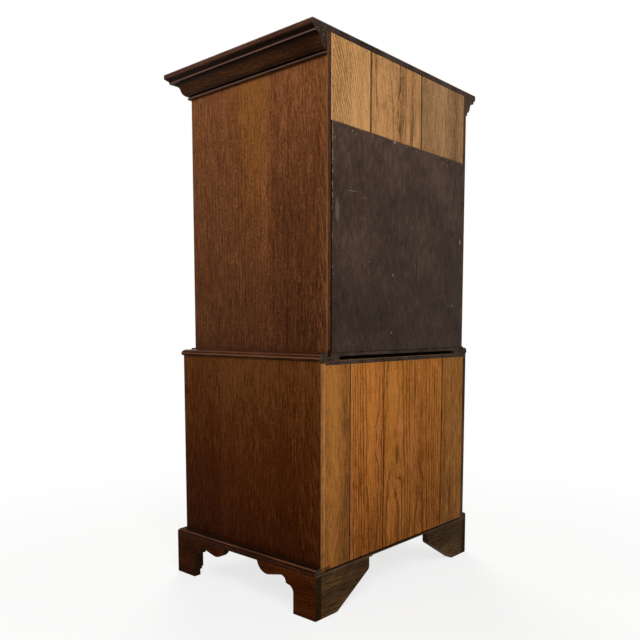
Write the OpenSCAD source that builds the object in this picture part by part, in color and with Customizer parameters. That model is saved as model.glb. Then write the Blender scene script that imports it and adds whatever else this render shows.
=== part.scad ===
// Oak chest-on-chest: an upper case of two short and three long drawers that lifts off
// a lower case of three long drawers on bracket feet.
// Millimetres. The origin is on the floor under the middle of the whole object.
// The front faces -Y, the back +Y, and +X is the right-hand side as seen from the front.

/* [Cases] */
// Width of the upper case over its sides
upper_w = 736; // [690:1:790]
// Depth of the upper case, front edges to back face
upper_d = 586; // [540:1:640]
// Height of the upper case with its top board
upper_h = 895; // [840:1:960]
// How far the lower case stands out past the upper one at the front and at each side
waist_step = 28; // [26:1:40]
// Height of the lower case without its base
lower_h = 606; // [560:1:660]
// Thickness of the upper case's side boards
upper_side_t = 22; // [20:1:26]
// Thickness of the lower case's side boards
lower_side_t = 25; // [20:1:28]
// Thickness of the bottom boards and of the lower case's top board
board_t = 18; // [16:1:20]
// Depth of the housings cut in the sides for boards, rails and runners
housing_d = 6; // [4:1:8]
// Play left where one piece is let into another of the same piece of work
fit_gap = 0.1; // [0.05:0.05:0.2]
// Width of the small flats between the members of a moulding
flat_w = 2; // [1:0.5:3]

/* [Back] */
// Thickness of the backboards
back_t = 10; // [8:1:12]
// Width of the rabbet in each side's rear edge that takes the backboards
rabbet_w = 6; // [4:1:8]
// Gap between neighbouring backboards, left by shrinking
board_gap = 2.4; // [0.6:0.2:3]
// Part of the lower top board's rear edge that stays above the backboards
lower_lip = 12; // [8:1:14]
// Part of the upper bottom board's rear edge that stays below the backboards
upper_lip = 12; // [8:1:14]
// How far the lower backboards stop short of the case's lower edge
back_rise = 3; // [1:1:6]
// Thickness of the panel nailed over the upper backboards
panel_t = 4; // [3:0.5:6]
// Height of the cover panel
panel_h = 637; // [560:1:700]
// Distance of the panel's edge from the left-hand end of the upper case
panel_left = 8; // [4:1:16]
// Distance of the panel's edge from the right-hand end of the upper case
panel_right = 17; // [16:1:26]
// Depth of the nick broken out of the panel's top edge
nick_d = 5; // [3:1:8]

/* [Cornice] */
// Thickness of the top board, whose edge is the cornice's fascia
top_t = 17; // [14:1:20]
// Rounding of the top board's upper front and side edges
top_round_up = 3; // [1:0.5:5]
// Rounding of the top board's lower front and side edges
top_round_low = 5; // [3:0.5:6]
// How far the top board and cornice stand out at the front and sides
cornice_p = 62; // [56:1:70]
// Height of the moulding under the top board
cornice_h = 62; // [56:1:70]
// Radius of the bead at the foot of the cornice
cornice_bead_r = 4.5; // [3:0.5:5]
// Radius of the hollow under the top board
cornice_cove_r = 6; // [4:0.5:8]
// Height of the upright fillet under that hollow
cornice_fillet = 5; // [3:0.5:7]
// Width of the flat soffit behind the fillet
cornice_soffit = 12; // [8:1:16]
// Bulge of the cornice's ogee to either side of its chord
cornice_ogee = 2.8; // [1:0.2:4]
// Drop from the cornice's foot to the lower edge of the frieze rail
frieze_show = 4; // [0:1:10]

/* [Waist moulding] */
// Height of the flat seat that the upper case stands on
waist_seat = 12; // [8:1:16]
// Height of the lip round the upper case
waist_h = 25; // [24:1:32]
// How far the nose stands out past the lower case
waist_nose = 6; // [4:1:8]
// Radius of the ovolo above the nose
waist_ovolo_r = 14; // [10:1:14]
// Radius of the hollow at the top of the lip
waist_cove_r = 5; // [3:1:5]
// Width of the lip's flat top
waist_top = 8; // [5:1:8]
// How far the strips reach in over the lower case
waist_reach = 83; // [60:1:110]
// Play round the upper case in the waist moulding
seat_gap = 0.5; // [0.3:0.1:1]

/* [Base] */
// Height of the bracket feet
foot_h = 127; // [118:1:150]
// Thickness of the flat frame between the feet and the case
frame_t = 10; // [8:1:14]
// Thickness of the strip under the case's rear edge, between the rear feet
rear_strip_t = 7; // [5:1:8]
// How far the base stands out past the lower case
base_p = 22; // [18:1:28]
// How far the frame reaches in under the lower case
frame_reach = 50; // [40:1:80]
// Height of the base moulding above its frame
base_mould_h = 17; // [15:1:20]
// Radius of the ovolo on the base moulding
base_ovolo_r = 12; // [8:1:12]
// Radius of the hollow above that ovolo
base_cove_r = 3; // [2:0.5:3]
// Thickness of the bracket feet
foot_t = 25; // [20:1:30]
// Width of a foot's leg on the floor
leg_w = 88; // [76:1:96]
// Radius of the hollow at the top of the leg
leg_cove_r = 22; // [16:1:24]
// Length of the flat step between the two hollows
leg_step = 8; // [4:1:12]
// Radius of the hollow below the bracket's cusp
cusp_r = 20; // [14:1:22]
// Height of the cusp above the floor
cusp_z = 106; // [98:1:108]
// Distance from the corner to the lowest point of the bracket's lobe
lobe_s = 199; // [190:1:215]
// Height of the lowest point of the lobe above the floor
lobe_z = 93; // [86:1:95]
// Radius of the lobe
lobe_r = 44; // [38:1:46]
// Width of a plain rear bracket on the floor
rear_leg_w = 96; // [70:1:110]
// Length of a plain rear bracket along the back
rear_len = 250; // [200:1:300]
// Height at which the rear bracket's slope ends
rear_slope_z = 92; // [70:1:105]
// Rounding of the rear bracket's corners
rear_round = 14; // [6:1:18]
// How far the short rear strips of the frame run past the rear brackets
strip_past = 16; // [6:1:30]
// Height of the glue posts' feet above the floor
post_rise = 6; // [3:1:12]
// Side of the square glue blocks in the feet
block_w = 32; // [24:1:40]
// Length of the glue blocks along the brackets
block_len = 80; // [50:1:90]

/* [Rails and runners] */
// Thickness of the drawer rails and runners
rail_t = 18; // [14:1:22]
// Depth of the drawer rails, front to back
rail_d = 60; // [40:1:90]
// Width of the runners beyond the sides' inner faces
runner_w = 26; // [18:1:40]
// Thickness of the upright between the short drawers
divider_t = 20; // [16:1:26]
// Width of the middle runner and kicker under and over the short drawers
middle_runner_w = 64; // [50:1:90]
// Height of the guide between the short drawers
guide_h = 24; // [12:1:40]
// Thickness of the frieze rail behind the cornice
frieze_t = 20; // [16:1:24]
// Length of a drawer stop
stop_w = 42; // [30:1:60]
// Depth of a drawer stop, front to back
stop_d = 22; // [14:1:30]
// Height of a drawer stop
stop_h = 5; // [3:1:6]

/* [Drawers] */
// How much each row of the upper case is lower than the row below it
upper_grade = 22; // [10:1:26]
// How much each row of the lower case is lower than the row below it
lower_grade = 18; // [8:1:26]
// Thickness of the drawer fronts
front_t = 20; // [18:1:24]
// Clearance round a drawer in its opening
drawer_gap = 1.2; // [0.8:0.1:2]
// Thickness of the drawer sides
box_side_t = 9; // [8:0.5:12]
// Clearance above the drawer sides
box_top_gap = 5; // [3:1:8]
// Thickness of the drawer backs
box_back_t = 9; // [7:0.5:12]
// How much lower the drawer backs are than the sides
box_back_drop = 6; // [2:1:12]
// Space left behind a closed drawer
rear_gap = 14; // [6:1:30]
// Thickness of the drawer bottoms
bottom_t = 7; // [6:0.5:8]
// Height of a drawer bottom above the runners
bottom_lift = 8; // [7:1:12]
// Depth of the grooves that hold the drawer bottoms
groove_d = 5; // [3:0.5:6]
// Wood left in front of the lapped dovetails
lap_t = 6; // [4:0.5:8]
// Wanted spacing of the dovetails
tail_pitch = 42; // [30:1:60]
// Width of a pin at its narrow face
pin_w = 5; // [3:0.5:8]
// Run of a dovetail's slope for each millimetre of flare
tail_slope = 6; // [5:0.5:8]
// Thickness of the cock beads round the drawer fronts
bead_t = 3; // [2:0.5:4]
// Wood left between the cock beads and the dovetails behind them
bead_wood = 0.5; // [0.3:0.1:1]
// How far the cock beads stand proud
bead_proud = 2.5; // [1.5:0.5:3]

/* [Handles] */
// Distance between the two posts of a handle
post_centres = 76; // [70:1:96]
// Distance of a long drawer's handles from its ends
handle_inset = 165; // [110:1:190]
// Distance from the drawer's face to the bail's pins
post_h = 21; // [19:1:26]
// Radius of a post's ball head
head_r = 5.5; // [5:0.25:6.5]
// Radius of a post's neck
neck_r = 3.2; // [2.8:0.1:4]
// Radius of a post's threaded shank
shank_r = 2.4; // [2:0.1:2.6]
// How far the shank runs out of its nut
shank_end = 1.5; // [0.5:0.5:3]
// Radius of the collar at a post's foot
collar_r = 5; // [4.4:0.2:6]
// Thickness of that collar
collar_t = 1.4; // [1:0.2:2]
// Radius of the round roses
rose_r = 11.5; // [10:0.5:14]
// Radius of the roses' raised middle
rose_boss_r = 7; // [6:0.5:7.5]
// Thickness of the roses
rose_t = 2.2; // [1.6:0.1:3]
// Side of the square nuts inside the drawers
nut_w = 12; // [10:1:14]
// Thickness of the nuts
nut_t = 4; // [3:0.5:5]
// Radius of the bail's rod
rod_r = 3; // [2.6:0.1:3.4]
// Extra radius in the middle of the bail's grip
grip_swell = 1.1; // [0.4:0.1:1.6]
// Radius of the bail's pins
pin_r = 2; // [1.6:0.1:2.2]
// Running clearance of the pins in the posts
pin_gap = 0.08; // [0.05:0.01:0.1]
// End clearance of the bail between and inside the post heads
bail_gap = 0.5; // [0.4:0.1:0.8]
// Radius of the bail's neck, from its pin to the knop
shoulder_r = 9.5; // [8:0.5:11]
// Angle by which the neck sweeps back outwards past upright
sweep_a = 48; // [36:1:56]
// Radius of the bend from the knop into the grip
bend_r = 11.5; // [10:0.5:13]
// Radius of the knops
knop_r = 3.7; // [3.5:0.1:4.5]

/* [Hidden] */
arc_steps = 10;
$fn = 32;
// How far cuts run past a face, and the parts of one casting into each other
eps = 1;

OAK_SIDE = [0.36, 0.19, 0.10];
OAK_FRONT = [0.42, 0.23, 0.11];
OAK_BACK = [0.66, 0.43, 0.21];
OAK_LINING = [0.72, 0.55, 0.34];
DARK_OAK = [0.22, 0.13, 0.08];
UMBER = [0.20, 0.15, 0.12];
BRASS = [0.74, 0.58, 0.28];

lower_w = upper_w + 2 * waist_step;
lower_d = upper_d + waist_step;
back_y = (upper_d + cornice_p - panel_t) / 2;
upper_front = back_y - upper_d;
lower_front = back_y - lower_d;
inner_back = back_y - back_t;

lower_z0 = foot_h + frame_t;
lower_z1 = lower_z0 + lower_h;
upper_z0 = lower_z1 + waist_seat;
upper_z1 = upper_z0 + upper_h;
top_z0 = upper_z1 - top_t;
frieze_z0 = top_z0 - cornice_h - frieze_show;

upper_in = upper_w / 2 - upper_side_t;
lower_in = lower_w / 2 - lower_side_t;
bead_seat = lap_t - bead_wood;

// Joints between backboards, measured from the middle of the back
UPPER_JOINTS = [-90, 175];
LOWER_JOINTS = [-240, -70, 99, 265];
// Place and half width of the nick in the cover panel's top edge
nick_x = 60;
nick_w = 7;

// Each drawer: name, case (0 upper, 1 lower), row counted from the bottom, side (-1, 0, 1)
DRAWERS = [
    ["drawer_top_left", 0, 3, -1],
    ["drawer_top_right", 0, 3, 1],
    ["drawer_upper_1", 0, 2, 0],
    ["drawer_upper_2", 0, 1, 0],
    ["drawer_upper_3", 0, 0, 0],
    ["drawer_lower_1", 1, 2, 0],
    ["drawer_lower_2", 1, 1, 0],
    ["drawer_lower_3", 1, 0, 0],
];
ROWS = [4, 3];
FLOOR = [upper_z0 + board_t, lower_z0 + board_t];
CEILING = [frieze_z0, lower_z1 - board_t];
GRADE = [upper_grade, lower_grade];
CASE_FRONT = [upper_front, lower_front];
CASE_IN = [upper_in, lower_in];

// Height of a row's opening, and of the opening's lower edge
function lowest_h(c) = let (n = ROWS[c])
    (CEILING[c] - FLOOR[c] - (n - 1) * rail_t + GRADE[c] * n * (n - 1) / 2) / n;
function row_h(c, row) = lowest_h(c) - row * GRADE[c];
function row_z(c, row) = FLOOR[c] + row * (lowest_h(c) + rail_t) - GRADE[c] * row * (row - 1) / 2;

// Size and middle of a drawer's opening
function open_w(d) = d[3] == 0 ? 2 * CASE_IN[d[1]] : CASE_IN[d[1]] - divider_t / 2;
function open_x(d) = d[3] * (CASE_IN[d[1]] + divider_t / 2) / 2;
function open_h(d) = row_h(d[1], d[2]);
function front_half(d) = open_w(d) / 2 - drawer_gap;
function box_len(d) = inner_back - CASE_FRONT[d[1]] - rear_gap;
function side_top(d) = open_h(d) - box_top_gap;
function back_z0(d) = bottom_lift + bottom_t;
function back_z1(d) = side_top(d) - box_back_drop;
function tail_count(z0, z1) = max(2, round((z1 - z0) / tail_pitch));

// Handles of a drawer: one in the middle of a short drawer, two on a long one
function handle_sides(d) = d[3] == 0 ? [-1, 1] : [0];
function handle_x(d, k) = k * (open_w(d) / 2 - handle_inset);
function bail_name(d, k) = str(d[0], k == 0 ? "_bail" : k < 0 ? "_bail_left" : "_bail_right");

// Points on an arc, and an S-curve from a to b that bulges right of its chord first
function arc(c, r, a0, a1) =
    [for (i = [0:arc_steps]) let (a = a0 + (a1 - a0) * i / arc_steps) c + r * [cos(a), sin(a)]];
function ogee(a, b, bulge) = let (v = b - a, n = [v.y, -v.x] / norm(v))
    [for (i = [0:2 * arc_steps]) let (t = i / (2 * arc_steps)) a + v * t + n * bulge * sin(360 * t)];
// Rounds the corner b between the lines to a and to c
function rounded(a, b, c, r) = let (
    u = (a - b) / norm(a - b), v = (c - b) / norm(c - b),
    half = acos(u * v) / 2, m = (u + v) / norm(u + v), o = b + m * r / sin(half),
    s = b + u * r / tan(half) - o, turn = cross(u, v) > 0 ? -1 : 1, sweep = turn * (180 - 2 * half),
    a0 = atan2(s.y, s.x)) arc(o, r, a0, a0 + sweep);

// Stretches a box between two corners
module block(a, b) {
    translate(a) cube(b - a);
}

// Copies to both sides of the middle
module both_sides() {
    children();
    mirror([1, 0, 0]) children();
}

// A moulding on the front and the two sides of a case of half width hw, mitred at the front
// corners. Its outline has x outwards from the case and y up; it reaches out by p and in by q.
module mitred_run(hw, front, z0, p, q, height) {
    length = 2 * (hw + p + eps);
    intersection() {
        translate([length / 2, front, z0]) rotate([90, 0, -90]) linear_extrude(length) children();
        translate([0, -fit_gap, z0 - eps]) linear_extrude(height + 2 * eps)
            polygon([
                [-(hw - q), front + q], [hw - q, front + q],
                [hw + p + eps, front - p - eps], [-(hw + p + eps), front - p - eps],
            ]);
    }
    both_sides() intersection() {
        translate([hw, back_y, z0]) rotate([90, 0, 0]) linear_extrude(back_y - front + p + eps) children();
        translate([0, 0, z0 - eps]) linear_extrude(height + 2 * eps)
            polygon([
                [hw - q, front + q], [hw + p + eps, front - p - eps],
                [hw + p + eps, back_y], [hw - q, back_y],
            ]);
    }
}

// Right-hand side board of a case, with its rear rabbet and housings at the given levels
module side_board(half_w, inner, front, z0, z1, levels) {
    difference() {
        block([inner, front, z0], [half_w, back_y, z1]);
        block([inner - eps, inner_back, z0 - eps], [inner + rabbet_w, back_y + eps, z1 + eps]);
        for (level = levels)
            block([inner - eps, front - eps, level[0]], [inner + housing_d, inner_back + eps, level[1]]);
    }
}

module upper_side() {
    color(OAK_SIDE) side_board(upper_w / 2, upper_in, upper_front, upper_z0, top_z0, concat(
        [[upper_z0 - eps, upper_z0 + board_t]],
        [for (row = [1:ROWS[0] - 1]) [row_z(0, row) - rail_t, row_z(0, row)]]
    ));
}

module lower_side() {
    color(OAK_SIDE) side_board(lower_w / 2, lower_in, lower_front, lower_z0, lower_z1, concat(
        [[lower_z0 - eps, lower_z0 + board_t], [lower_z1 - board_t, lower_z1 + eps]],
        [for (row = [1:ROWS[1] - 1]) [row_z(1, row) - rail_t, row_z(1, row)]]
    ));
}

// Section of the top board's shaped edge: x outwards to the edge at 0, y up from its lower face
module top_edge_outline(depth) {
    polygon(concat(
        [[-depth, 0]],
        arc([-top_round_low, top_round_low], top_round_low, -90, 0),
        arc([-top_round_up, top_t - top_round_up], top_round_up, 0, 90),
        [[-depth, top_t]]
    ));
}

module upper_top_board() {
    half = upper_w / 2 + cornice_p;
    depth = upper_d + cornice_p;
    color(DARK_OAK) intersection() {
        translate([half, back_y - depth, top_z0]) rotate([90, 0, -90])
            linear_extrude(2 * half) top_edge_outline(depth);
        both_sides() translate([half, back_y + eps, top_z0]) rotate([90, 0, 0])
            linear_extrude(depth + 2 * eps) top_edge_outline(half + eps);
    }
}

module upper_bottom_board() {
    half = upper_in + housing_d;
    color(DARK_OAK) difference() {
        block([-half, upper_front, upper_z0], [half, back_y, upper_z0 + board_t]);
        block([-half - eps, inner_back, upper_z0 + upper_lip], [half + eps, back_y + eps, upper_z0 + board_t + eps]);
    }
}

module lower_top_board() {
    half = lower_in + housing_d;
    color(DARK_OAK) difference() {
        block([-half, lower_front, lower_z1 - board_t], [half, back_y, lower_z1]);
        block([-half - eps, inner_back, lower_z1 - board_t - eps], [half + eps, back_y + eps, lower_z1 - lower_lip]);
    }
}

module lower_bottom_board() {
    half = lower_in + housing_d;
    color(DARK_OAK) block([-half, lower_front, lower_z0], [half, inner_back, lower_z0 + board_t]);
}

// Upright boards side by side across the back, parted at the given joints
module backboards(half, joints, z0, z1) {
    edges = concat([-half - board_gap / 2], joints, [half + board_gap / 2]);
    color(OAK_BACK) for (i = [1:len(edges) - 1])
        block([edges[i - 1] + board_gap / 2, inner_back, z0], [edges[i] - board_gap / 2, back_y, z1]);
}

module upper_backboards() {
    backboards(upper_in + rabbet_w, UPPER_JOINTS, upper_z0 + upper_lip, top_z0);
}

module lower_backboards() {
    backboards(lower_in + rabbet_w, LOWER_JOINTS, lower_z0 + back_rise, lower_z1 - lower_lip);
}

module back_cover_panel() {
    x0 = -upper_w / 2 + panel_left;
    x1 = upper_w / 2 - panel_right;
    color(UMBER) translate([0, back_y + panel_t, upper_z0 + upper_lip]) rotate([90, 0, 0])
        linear_extrude(panel_t) polygon([
            [x0, 0], [x1, 0], [x1, panel_h],
            [nick_x + nick_w, panel_h], [nick_x + nick_w / 2, panel_h - nick_d],
            [nick_x - nick_w / 2, panel_h - nick_d / 2], [nick_x - nick_w, panel_h],
            [x0, panel_h],
        ]);
}

// Fillet, hollow and ogee under the overhanging top board, with a bead at the foot
module cornice_outline() {
    bead_w = 2 * cornice_bead_r;
    cove_x = cornice_p - top_round_low;
    cove_z = cornice_h - cornice_cove_r - flat_w;
    fillet_p = cove_x - cornice_cove_r - flat_w / 2;
    soffit = [fillet_p - cornice_soffit, cove_z - cornice_fillet];
    polygon(concat(
        [[0, 0]],
        arc([cornice_bead_r, cornice_bead_r], cornice_bead_r, -90, 90),
        [[cornice_bead_r, bead_w + flat_w]],
        ogee([bead_w + flat_w, bead_w + flat_w], soffit - [0, flat_w], cornice_ogee),
        [soffit, [fillet_p, soffit.y], [fillet_p, cove_z]],
        arc([cove_x, cove_z], cornice_cove_r, 180, 90),
        [[cove_x, cornice_h], [0, cornice_h]]
    ));
}

module cornice() {
    color(OAK_SIDE)
        mitred_run(upper_w / 2, upper_front, top_z0 - cornice_h, cornice_p, 0, cornice_h) cornice_outline();
}

// Flat strip with a rebate for the upper case, worked with a nose, ovolo and hollow outside
module waist_outline() {
    ovolo_c = [waist_nose - waist_ovolo_r, waist_nose];
    lip_x = seat_gap - waist_step;
    cove_x = lip_x + waist_cove_r + waist_top;
    polygon(concat(
        [[-waist_reach, 0], [0, 0]],
        arc([0, waist_nose], waist_nose, -90, 0),
        arc(ovolo_c, waist_ovolo_r, 0, 90),
        arc([cove_x, waist_h], waist_cove_r, -90, -180),
        [[lip_x, waist_h], [lip_x, waist_seat], [-waist_reach, waist_seat]]
    ));
}

module waist_moulding() {
    color(DARK_OAK)
        mitred_run(lower_w / 2, lower_front, lower_z1, waist_nose, waist_reach, waist_h) waist_outline();
}

// Flat strips under the case: front and sides mitred, a short one over each rear foot, a thin one between
module base_frame() {
    half = lower_w / 2;
    foot_end = half + base_p - rear_len - strip_past;
    color(DARK_OAK) {
        mitred_run(half, lower_front, foot_h, base_p, frame_reach, frame_t)
            translate([-frame_reach, 0]) square([frame_reach + base_p, frame_t]);
        both_sides() block(
            [foot_end, back_y - frame_reach, foot_h],
            [half - frame_reach - fit_gap, back_y, foot_h + frame_t]
        );
        block(
            [fit_gap - foot_end, back_y - frame_reach, lower_z0 - rear_strip_t],
            [foot_end - fit_gap, back_y, lower_z0]
        );
    }
}

module base_outline() {
    ovolo_c = [base_p - base_ovolo_r, base_mould_h - base_cove_r - base_ovolo_r];
    polygon(concat(
        [[0, 0], [base_p, 0]],
        arc(ovolo_c, base_ovolo_r, 0, 90),
        arc([ovolo_c.x - flat_w, base_mould_h], base_cove_r, -90, -180),
        [[0, base_mould_h]]
    ));
}

module base_moulding() {
    color(DARK_OAK)
        mitred_run(lower_w / 2, lower_front, lower_z0, base_p, 0, base_mould_h) base_outline();
}

// Shaped bracket: x runs along the case from the foot's corner, y up from the floor
module bracket_outline() {
    cove_c = [leg_w + leg_cove_r, cusp_z - cusp_r - leg_cove_r - flat_w];
    step_x = cove_c.x + leg_step;
    lobe_c = [lobe_s, lobe_z + lobe_r];
    cusp = [step_x + cusp_r, cusp_z];
    // The straight back of the lobe runs from the cusp and touches the lobe's circle
    reach = norm(lobe_c - cusp);
    to_lobe = atan2(lobe_c.y - cusp.y, lobe_c.x - cusp.x);
    tangent_a = to_lobe - asin(lobe_r / reach) - 90;
    end_a = -asin((lobe_c.y - foot_h) / lobe_r);
    polygon(concat(
        [[0, 0], [leg_w, 0]],
        arc(cove_c, leg_cove_r, 180, 90),
        arc([step_x + cusp_r, cusp_z - cusp_r], cusp_r, 180, 90),
        arc(lobe_c, lobe_r, tangent_a, end_a),
        [[0, foot_h]]
    ));
}

// Side bracket of the front right foot, mitred at the corner
module front_side_bracket() {
    x1 = lower_w / 2 + base_p;
    y0 = lower_front - base_p;
    intersection() {
        translate([x1 - foot_t, y0, 0]) rotate([90, 0, 90]) linear_extrude(foot_t) bracket_outline();
        translate([0, 0, -eps]) linear_extrude(foot_h + 2 * eps) polygon([
            [x1 + eps, y0 - eps], [x1 + eps, back_y], [x1 - foot_t - eps, back_y],
            [x1 - foot_t - eps, y0 + foot_t + eps],
        ]);
    }
}

// Front bracket of the front right foot
module front_bracket() {
    x1 = lower_w / 2 + base_p;
    y0 = lower_front - base_p;
    intersection() {
        translate([x1, y0, 0]) rotate([90, 0, 180]) linear_extrude(foot_t) bracket_outline();
        translate([-fit_gap, 0, -eps]) linear_extrude(foot_h + 2 * eps) polygon([
            [x1 + eps, y0 - eps], [x1 - foot_t - eps, y0 + foot_t + eps],
            [0, y0 + foot_t + eps], [0, y0 - eps],
        ]);
    }
}

module front_feet() {
    color(DARK_OAK) both_sides() {
        front_side_bracket();
        front_bracket();
    }
}

// The rear foot's shaped side bracket runs to the back; a plain sloping one fits inside it
module rear_feet() {
    x1 = lower_w / 2 + base_p;
    inside = foot_t + fit_gap;
    color(DARK_OAK) both_sides() {
        translate([x1 - foot_t, back_y, 0]) rotate([90, 0, -90]) mirror([0, 0, 1]) linear_extrude(foot_t)
            bracket_outline();
        translate([x1, back_y, 0]) rotate([90, 0, 0]) mirror([1, 0, 0]) linear_extrude(foot_t)
            polygon(concat(
                [[inside, 0]],
                rounded([inside, 0], [rear_leg_w, 0], [rear_len, rear_slope_z], rear_round),
                rounded([rear_leg_w, 0], [rear_len, rear_slope_z], [rear_len, foot_h], rear_round),
                [[rear_len, foot_h], [inside, foot_h]]
            ));
    }
}

// A post in each foot's corner and a block behind each bracket, under the frame
module foot_glue_blocks() {
    x1 = lower_w / 2 + base_p - foot_t;
    color(OAK_LINING) both_sides() for (corner = [[lower_front - base_p + foot_t, 1], [back_y - foot_t, -1]])
        translate([x1, corner[0], 0]) mirror([1, 0, 0]) scale([1, corner[1], 1]) {
            block([0, 0, post_rise], [block_w, block_w, foot_h]);
            block([0, block_w + fit_gap, foot_h - block_w / 2], [block_w / 2, block_w + block_len, foot_h]);
            block([block_w + fit_gap, 0, foot_h - block_w / 2], [block_w + block_len, block_w / 2, foot_h]);
        }
}

// Front rails between the rows of a case, their ends housed in the sides
module row_rails(c) {
    half = CASE_IN[c] + housing_d;
    for (row = [1:ROWS[c] - 1])
        block([-half, CASE_FRONT[c], row_z(c, row) - rail_t], [half, CASE_FRONT[c] + rail_d, row_z(c, row)]);
}

module upper_rails() {
    short_z = row_z(0, ROWS[0] - 1);
    color(OAK_FRONT) {
        row_rails(0);
        block([-upper_in, upper_front, frieze_z0], [upper_in, upper_front + frieze_t, top_z0]);
        block(
            [-divider_t / 2, upper_front, short_z + fit_gap],
            [divider_t / 2, upper_front + rail_d, frieze_z0 - fit_gap]
        );
    }
}

module lower_rails() {
    color(OAK_FRONT) row_rails(1);
}

// Runners behind the rails, and the stops that the drawer fronts meet
module row_runners(c) {
    y0 = CASE_FRONT[c] + rail_d;
    for (row = [1:ROWS[c] - 1])
        both_sides() block(
            [CASE_IN[c] - runner_w, y0, row_z(c, row) - rail_t],
            [CASE_IN[c] + housing_d, inner_back, row_z(c, row)]
        );
}

module row_stops() {
    for (d = DRAWERS) if (d[1] == $case)
        for (k = [-1, 1]) translate([open_x(d) + k * open_w(d) / 4, 0, 0]) block(
            [-stop_w / 2, CASE_FRONT[d[1]] + front_t, row_z(d[1], d[2])],
            [stop_w / 2, CASE_FRONT[d[1]] + front_t + stop_d, row_z(d[1], d[2]) + stop_h]
        );
}

module upper_runners() {
    y0 = upper_front + rail_d;
    short_z = row_z(0, ROWS[0] - 1);
    half = middle_runner_w / 2;
    color(OAK_LINING) {
        row_runners(0);
        row_stops($case = 0);
        block([-half, y0, short_z - rail_t], [half, inner_back, short_z]);
        block([-divider_t / 2, y0, short_z + fit_gap], [divider_t / 2, inner_back, short_z + guide_h]);
        for (x = [-upper_in, -half, upper_in - runner_w]) block(
            [x, upper_front + frieze_t, frieze_z0],
            [x == -half ? half : x + runner_w, inner_back, frieze_z0 + rail_t]
        );
    }
}

module lower_runners() {
    color(OAK_LINING) {
        row_runners(1);
        row_stops($case = 1);
    }
}

// Places a drawer's parts: the origin is the middle of the opening's lower front edge
module in_opening(d) {
    translate([open_x(d), CASE_FRONT[d[1]], row_z(d[1], d[2])]) children();
}

// Dovetails on the end of a board, as x along the board from their root and y across it
module tails(length, z0, z1, play) {
    n = tail_count(z0, z1);
    pitch = (z1 - z0) / n;
    wide = (pitch - pin_w) / 2 - play;
    narrow = wide - length / tail_slope;
    for (i = [0:n - 1]) translate([0, z0 + (i + 0.5) * pitch])
        polygon([[0, -narrow], [length, -wide], [length, wide], [0, narrow]]);
}

// The lapped dovetails that hold a drawer's side in its front
module front_tails(d) {
    translate([0, front_t, 0]) rotate([90, 0, -90]) mirror([0, 0, 1]) linear_extrude(box_side_t)
        tails(front_t - lap_t, drawer_gap, side_top(d), 0);
}

// The through dovetails at the back, as thick as t and grown by play
module back_tails(d, t, play) {
    translate([0, box_len(d) - box_back_t, 0]) rotate([90, 0, 90]) linear_extrude(t)
        tails(box_back_t, back_z0(d), back_z1(d), -play);
}

// The thin bottom, grown by the given play to cut its grooves
module bottom_panel(d, play) {
    half = front_half(d) - box_side_t + groove_d;
    block(
        [-half - play, front_t - groove_d - play, bottom_lift - play],
        [half + play, box_len(d) + play, bottom_lift + bottom_t + play]
    );
}

module drawer_side(d) {
    x0 = front_half(d) - box_side_t;
    x1 = front_half(d);
    difference() {
        union() {
            block([x0, front_t, 0], [x1, box_len(d) - box_back_t, side_top(d)]);
            block([x0, front_t, 0], [x1, box_len(d), back_z0(d)]);
            block([x0, front_t, back_z1(d)], [x1, box_len(d), side_top(d)]);
            translate([x0, 0, 0]) front_tails(d);
            translate([x0, 0, 0]) back_tails(d, box_side_t, 0);
        }
        bottom_panel(d, fit_gap);
    }
}

module drawer_back(d) {
    half = front_half(d);
    difference() {
        block(
            [-half, box_len(d) - box_back_t + fit_gap, back_z0(d) + fit_gap],
            [half, box_len(d), back_z1(d) - fit_gap]
        );
        both_sides() translate([half - box_side_t - fit_gap, 0, 0])
            back_tails(d, box_side_t + 2 * fit_gap, fit_gap);
    }
}

module drawer_box(d) {
    color(OAK_LINING) in_opening(d) {
        both_sides() drawer_side(d);
        drawer_back(d);
        bottom_panel(d, 0);
    }
}

// One cock bead along the top edge of a front of half width hw and half height hh
module cock_bead(hw, hh) {
    intersection() {
        translate([hw, 0, hh]) rotate([90, 0, -90]) linear_extrude(2 * hw) polygon(concat(
            [[-bead_seat, 0], [-bead_seat, -bead_t]],
            arc([bead_proud - bead_t / 2, -bead_t / 2], bead_t / 2, -90, 90)
        ));
        translate([0, lap_t, 0]) rotate([90, 0, 0]) linear_extrude(lap_t + bead_proud + eps) polygon([
            [-hw + fit_gap, hh], [hw - fit_gap, hh],
            [hw - bead_t - fit_gap, hh - bead_t], [-hw + bead_t + fit_gap, hh - bead_t],
        ]);
    }
}

module drawer_front(d) {
    hw = front_half(d);
    hh = open_h(d) / 2 - drawer_gap;
    color(OAK_FRONT) in_opening(d) {
        difference() {
            translate([0, 0, open_h(d) / 2]) {
                block([-hw, bead_seat + fit_gap, -hh], [hw, front_t, hh]);
                block(
                    [-hw + bead_t + fit_gap, 0, -hh + bead_t + fit_gap],
                    [hw - bead_t - fit_gap, front_t, hh - bead_t - fit_gap]
                );
            }
            both_sides() translate([hw - box_side_t, 0, 0]) front_tails(d);
            bottom_panel(d, 0);
            for (k = handle_sides(d), s = [-1, 1])
                translate([handle_x(d, k) + s * post_centres / 2, front_t + eps, open_h(d) / 2])
                    rotate([90, 0, 0]) cylinder(h = front_t + 2 * eps, r = shank_r + fit_gap);
        }
        translate([0, 0, open_h(d) / 2]) {
            cock_bead(hw, hh);
            mirror([0, 0, 1]) cock_bead(hw, hh);
            rotate([0, 90, 0]) cock_bead(hh, hw);
            rotate([0, -90, 0]) cock_bead(hh, hw);
        }
    }
}

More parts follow.
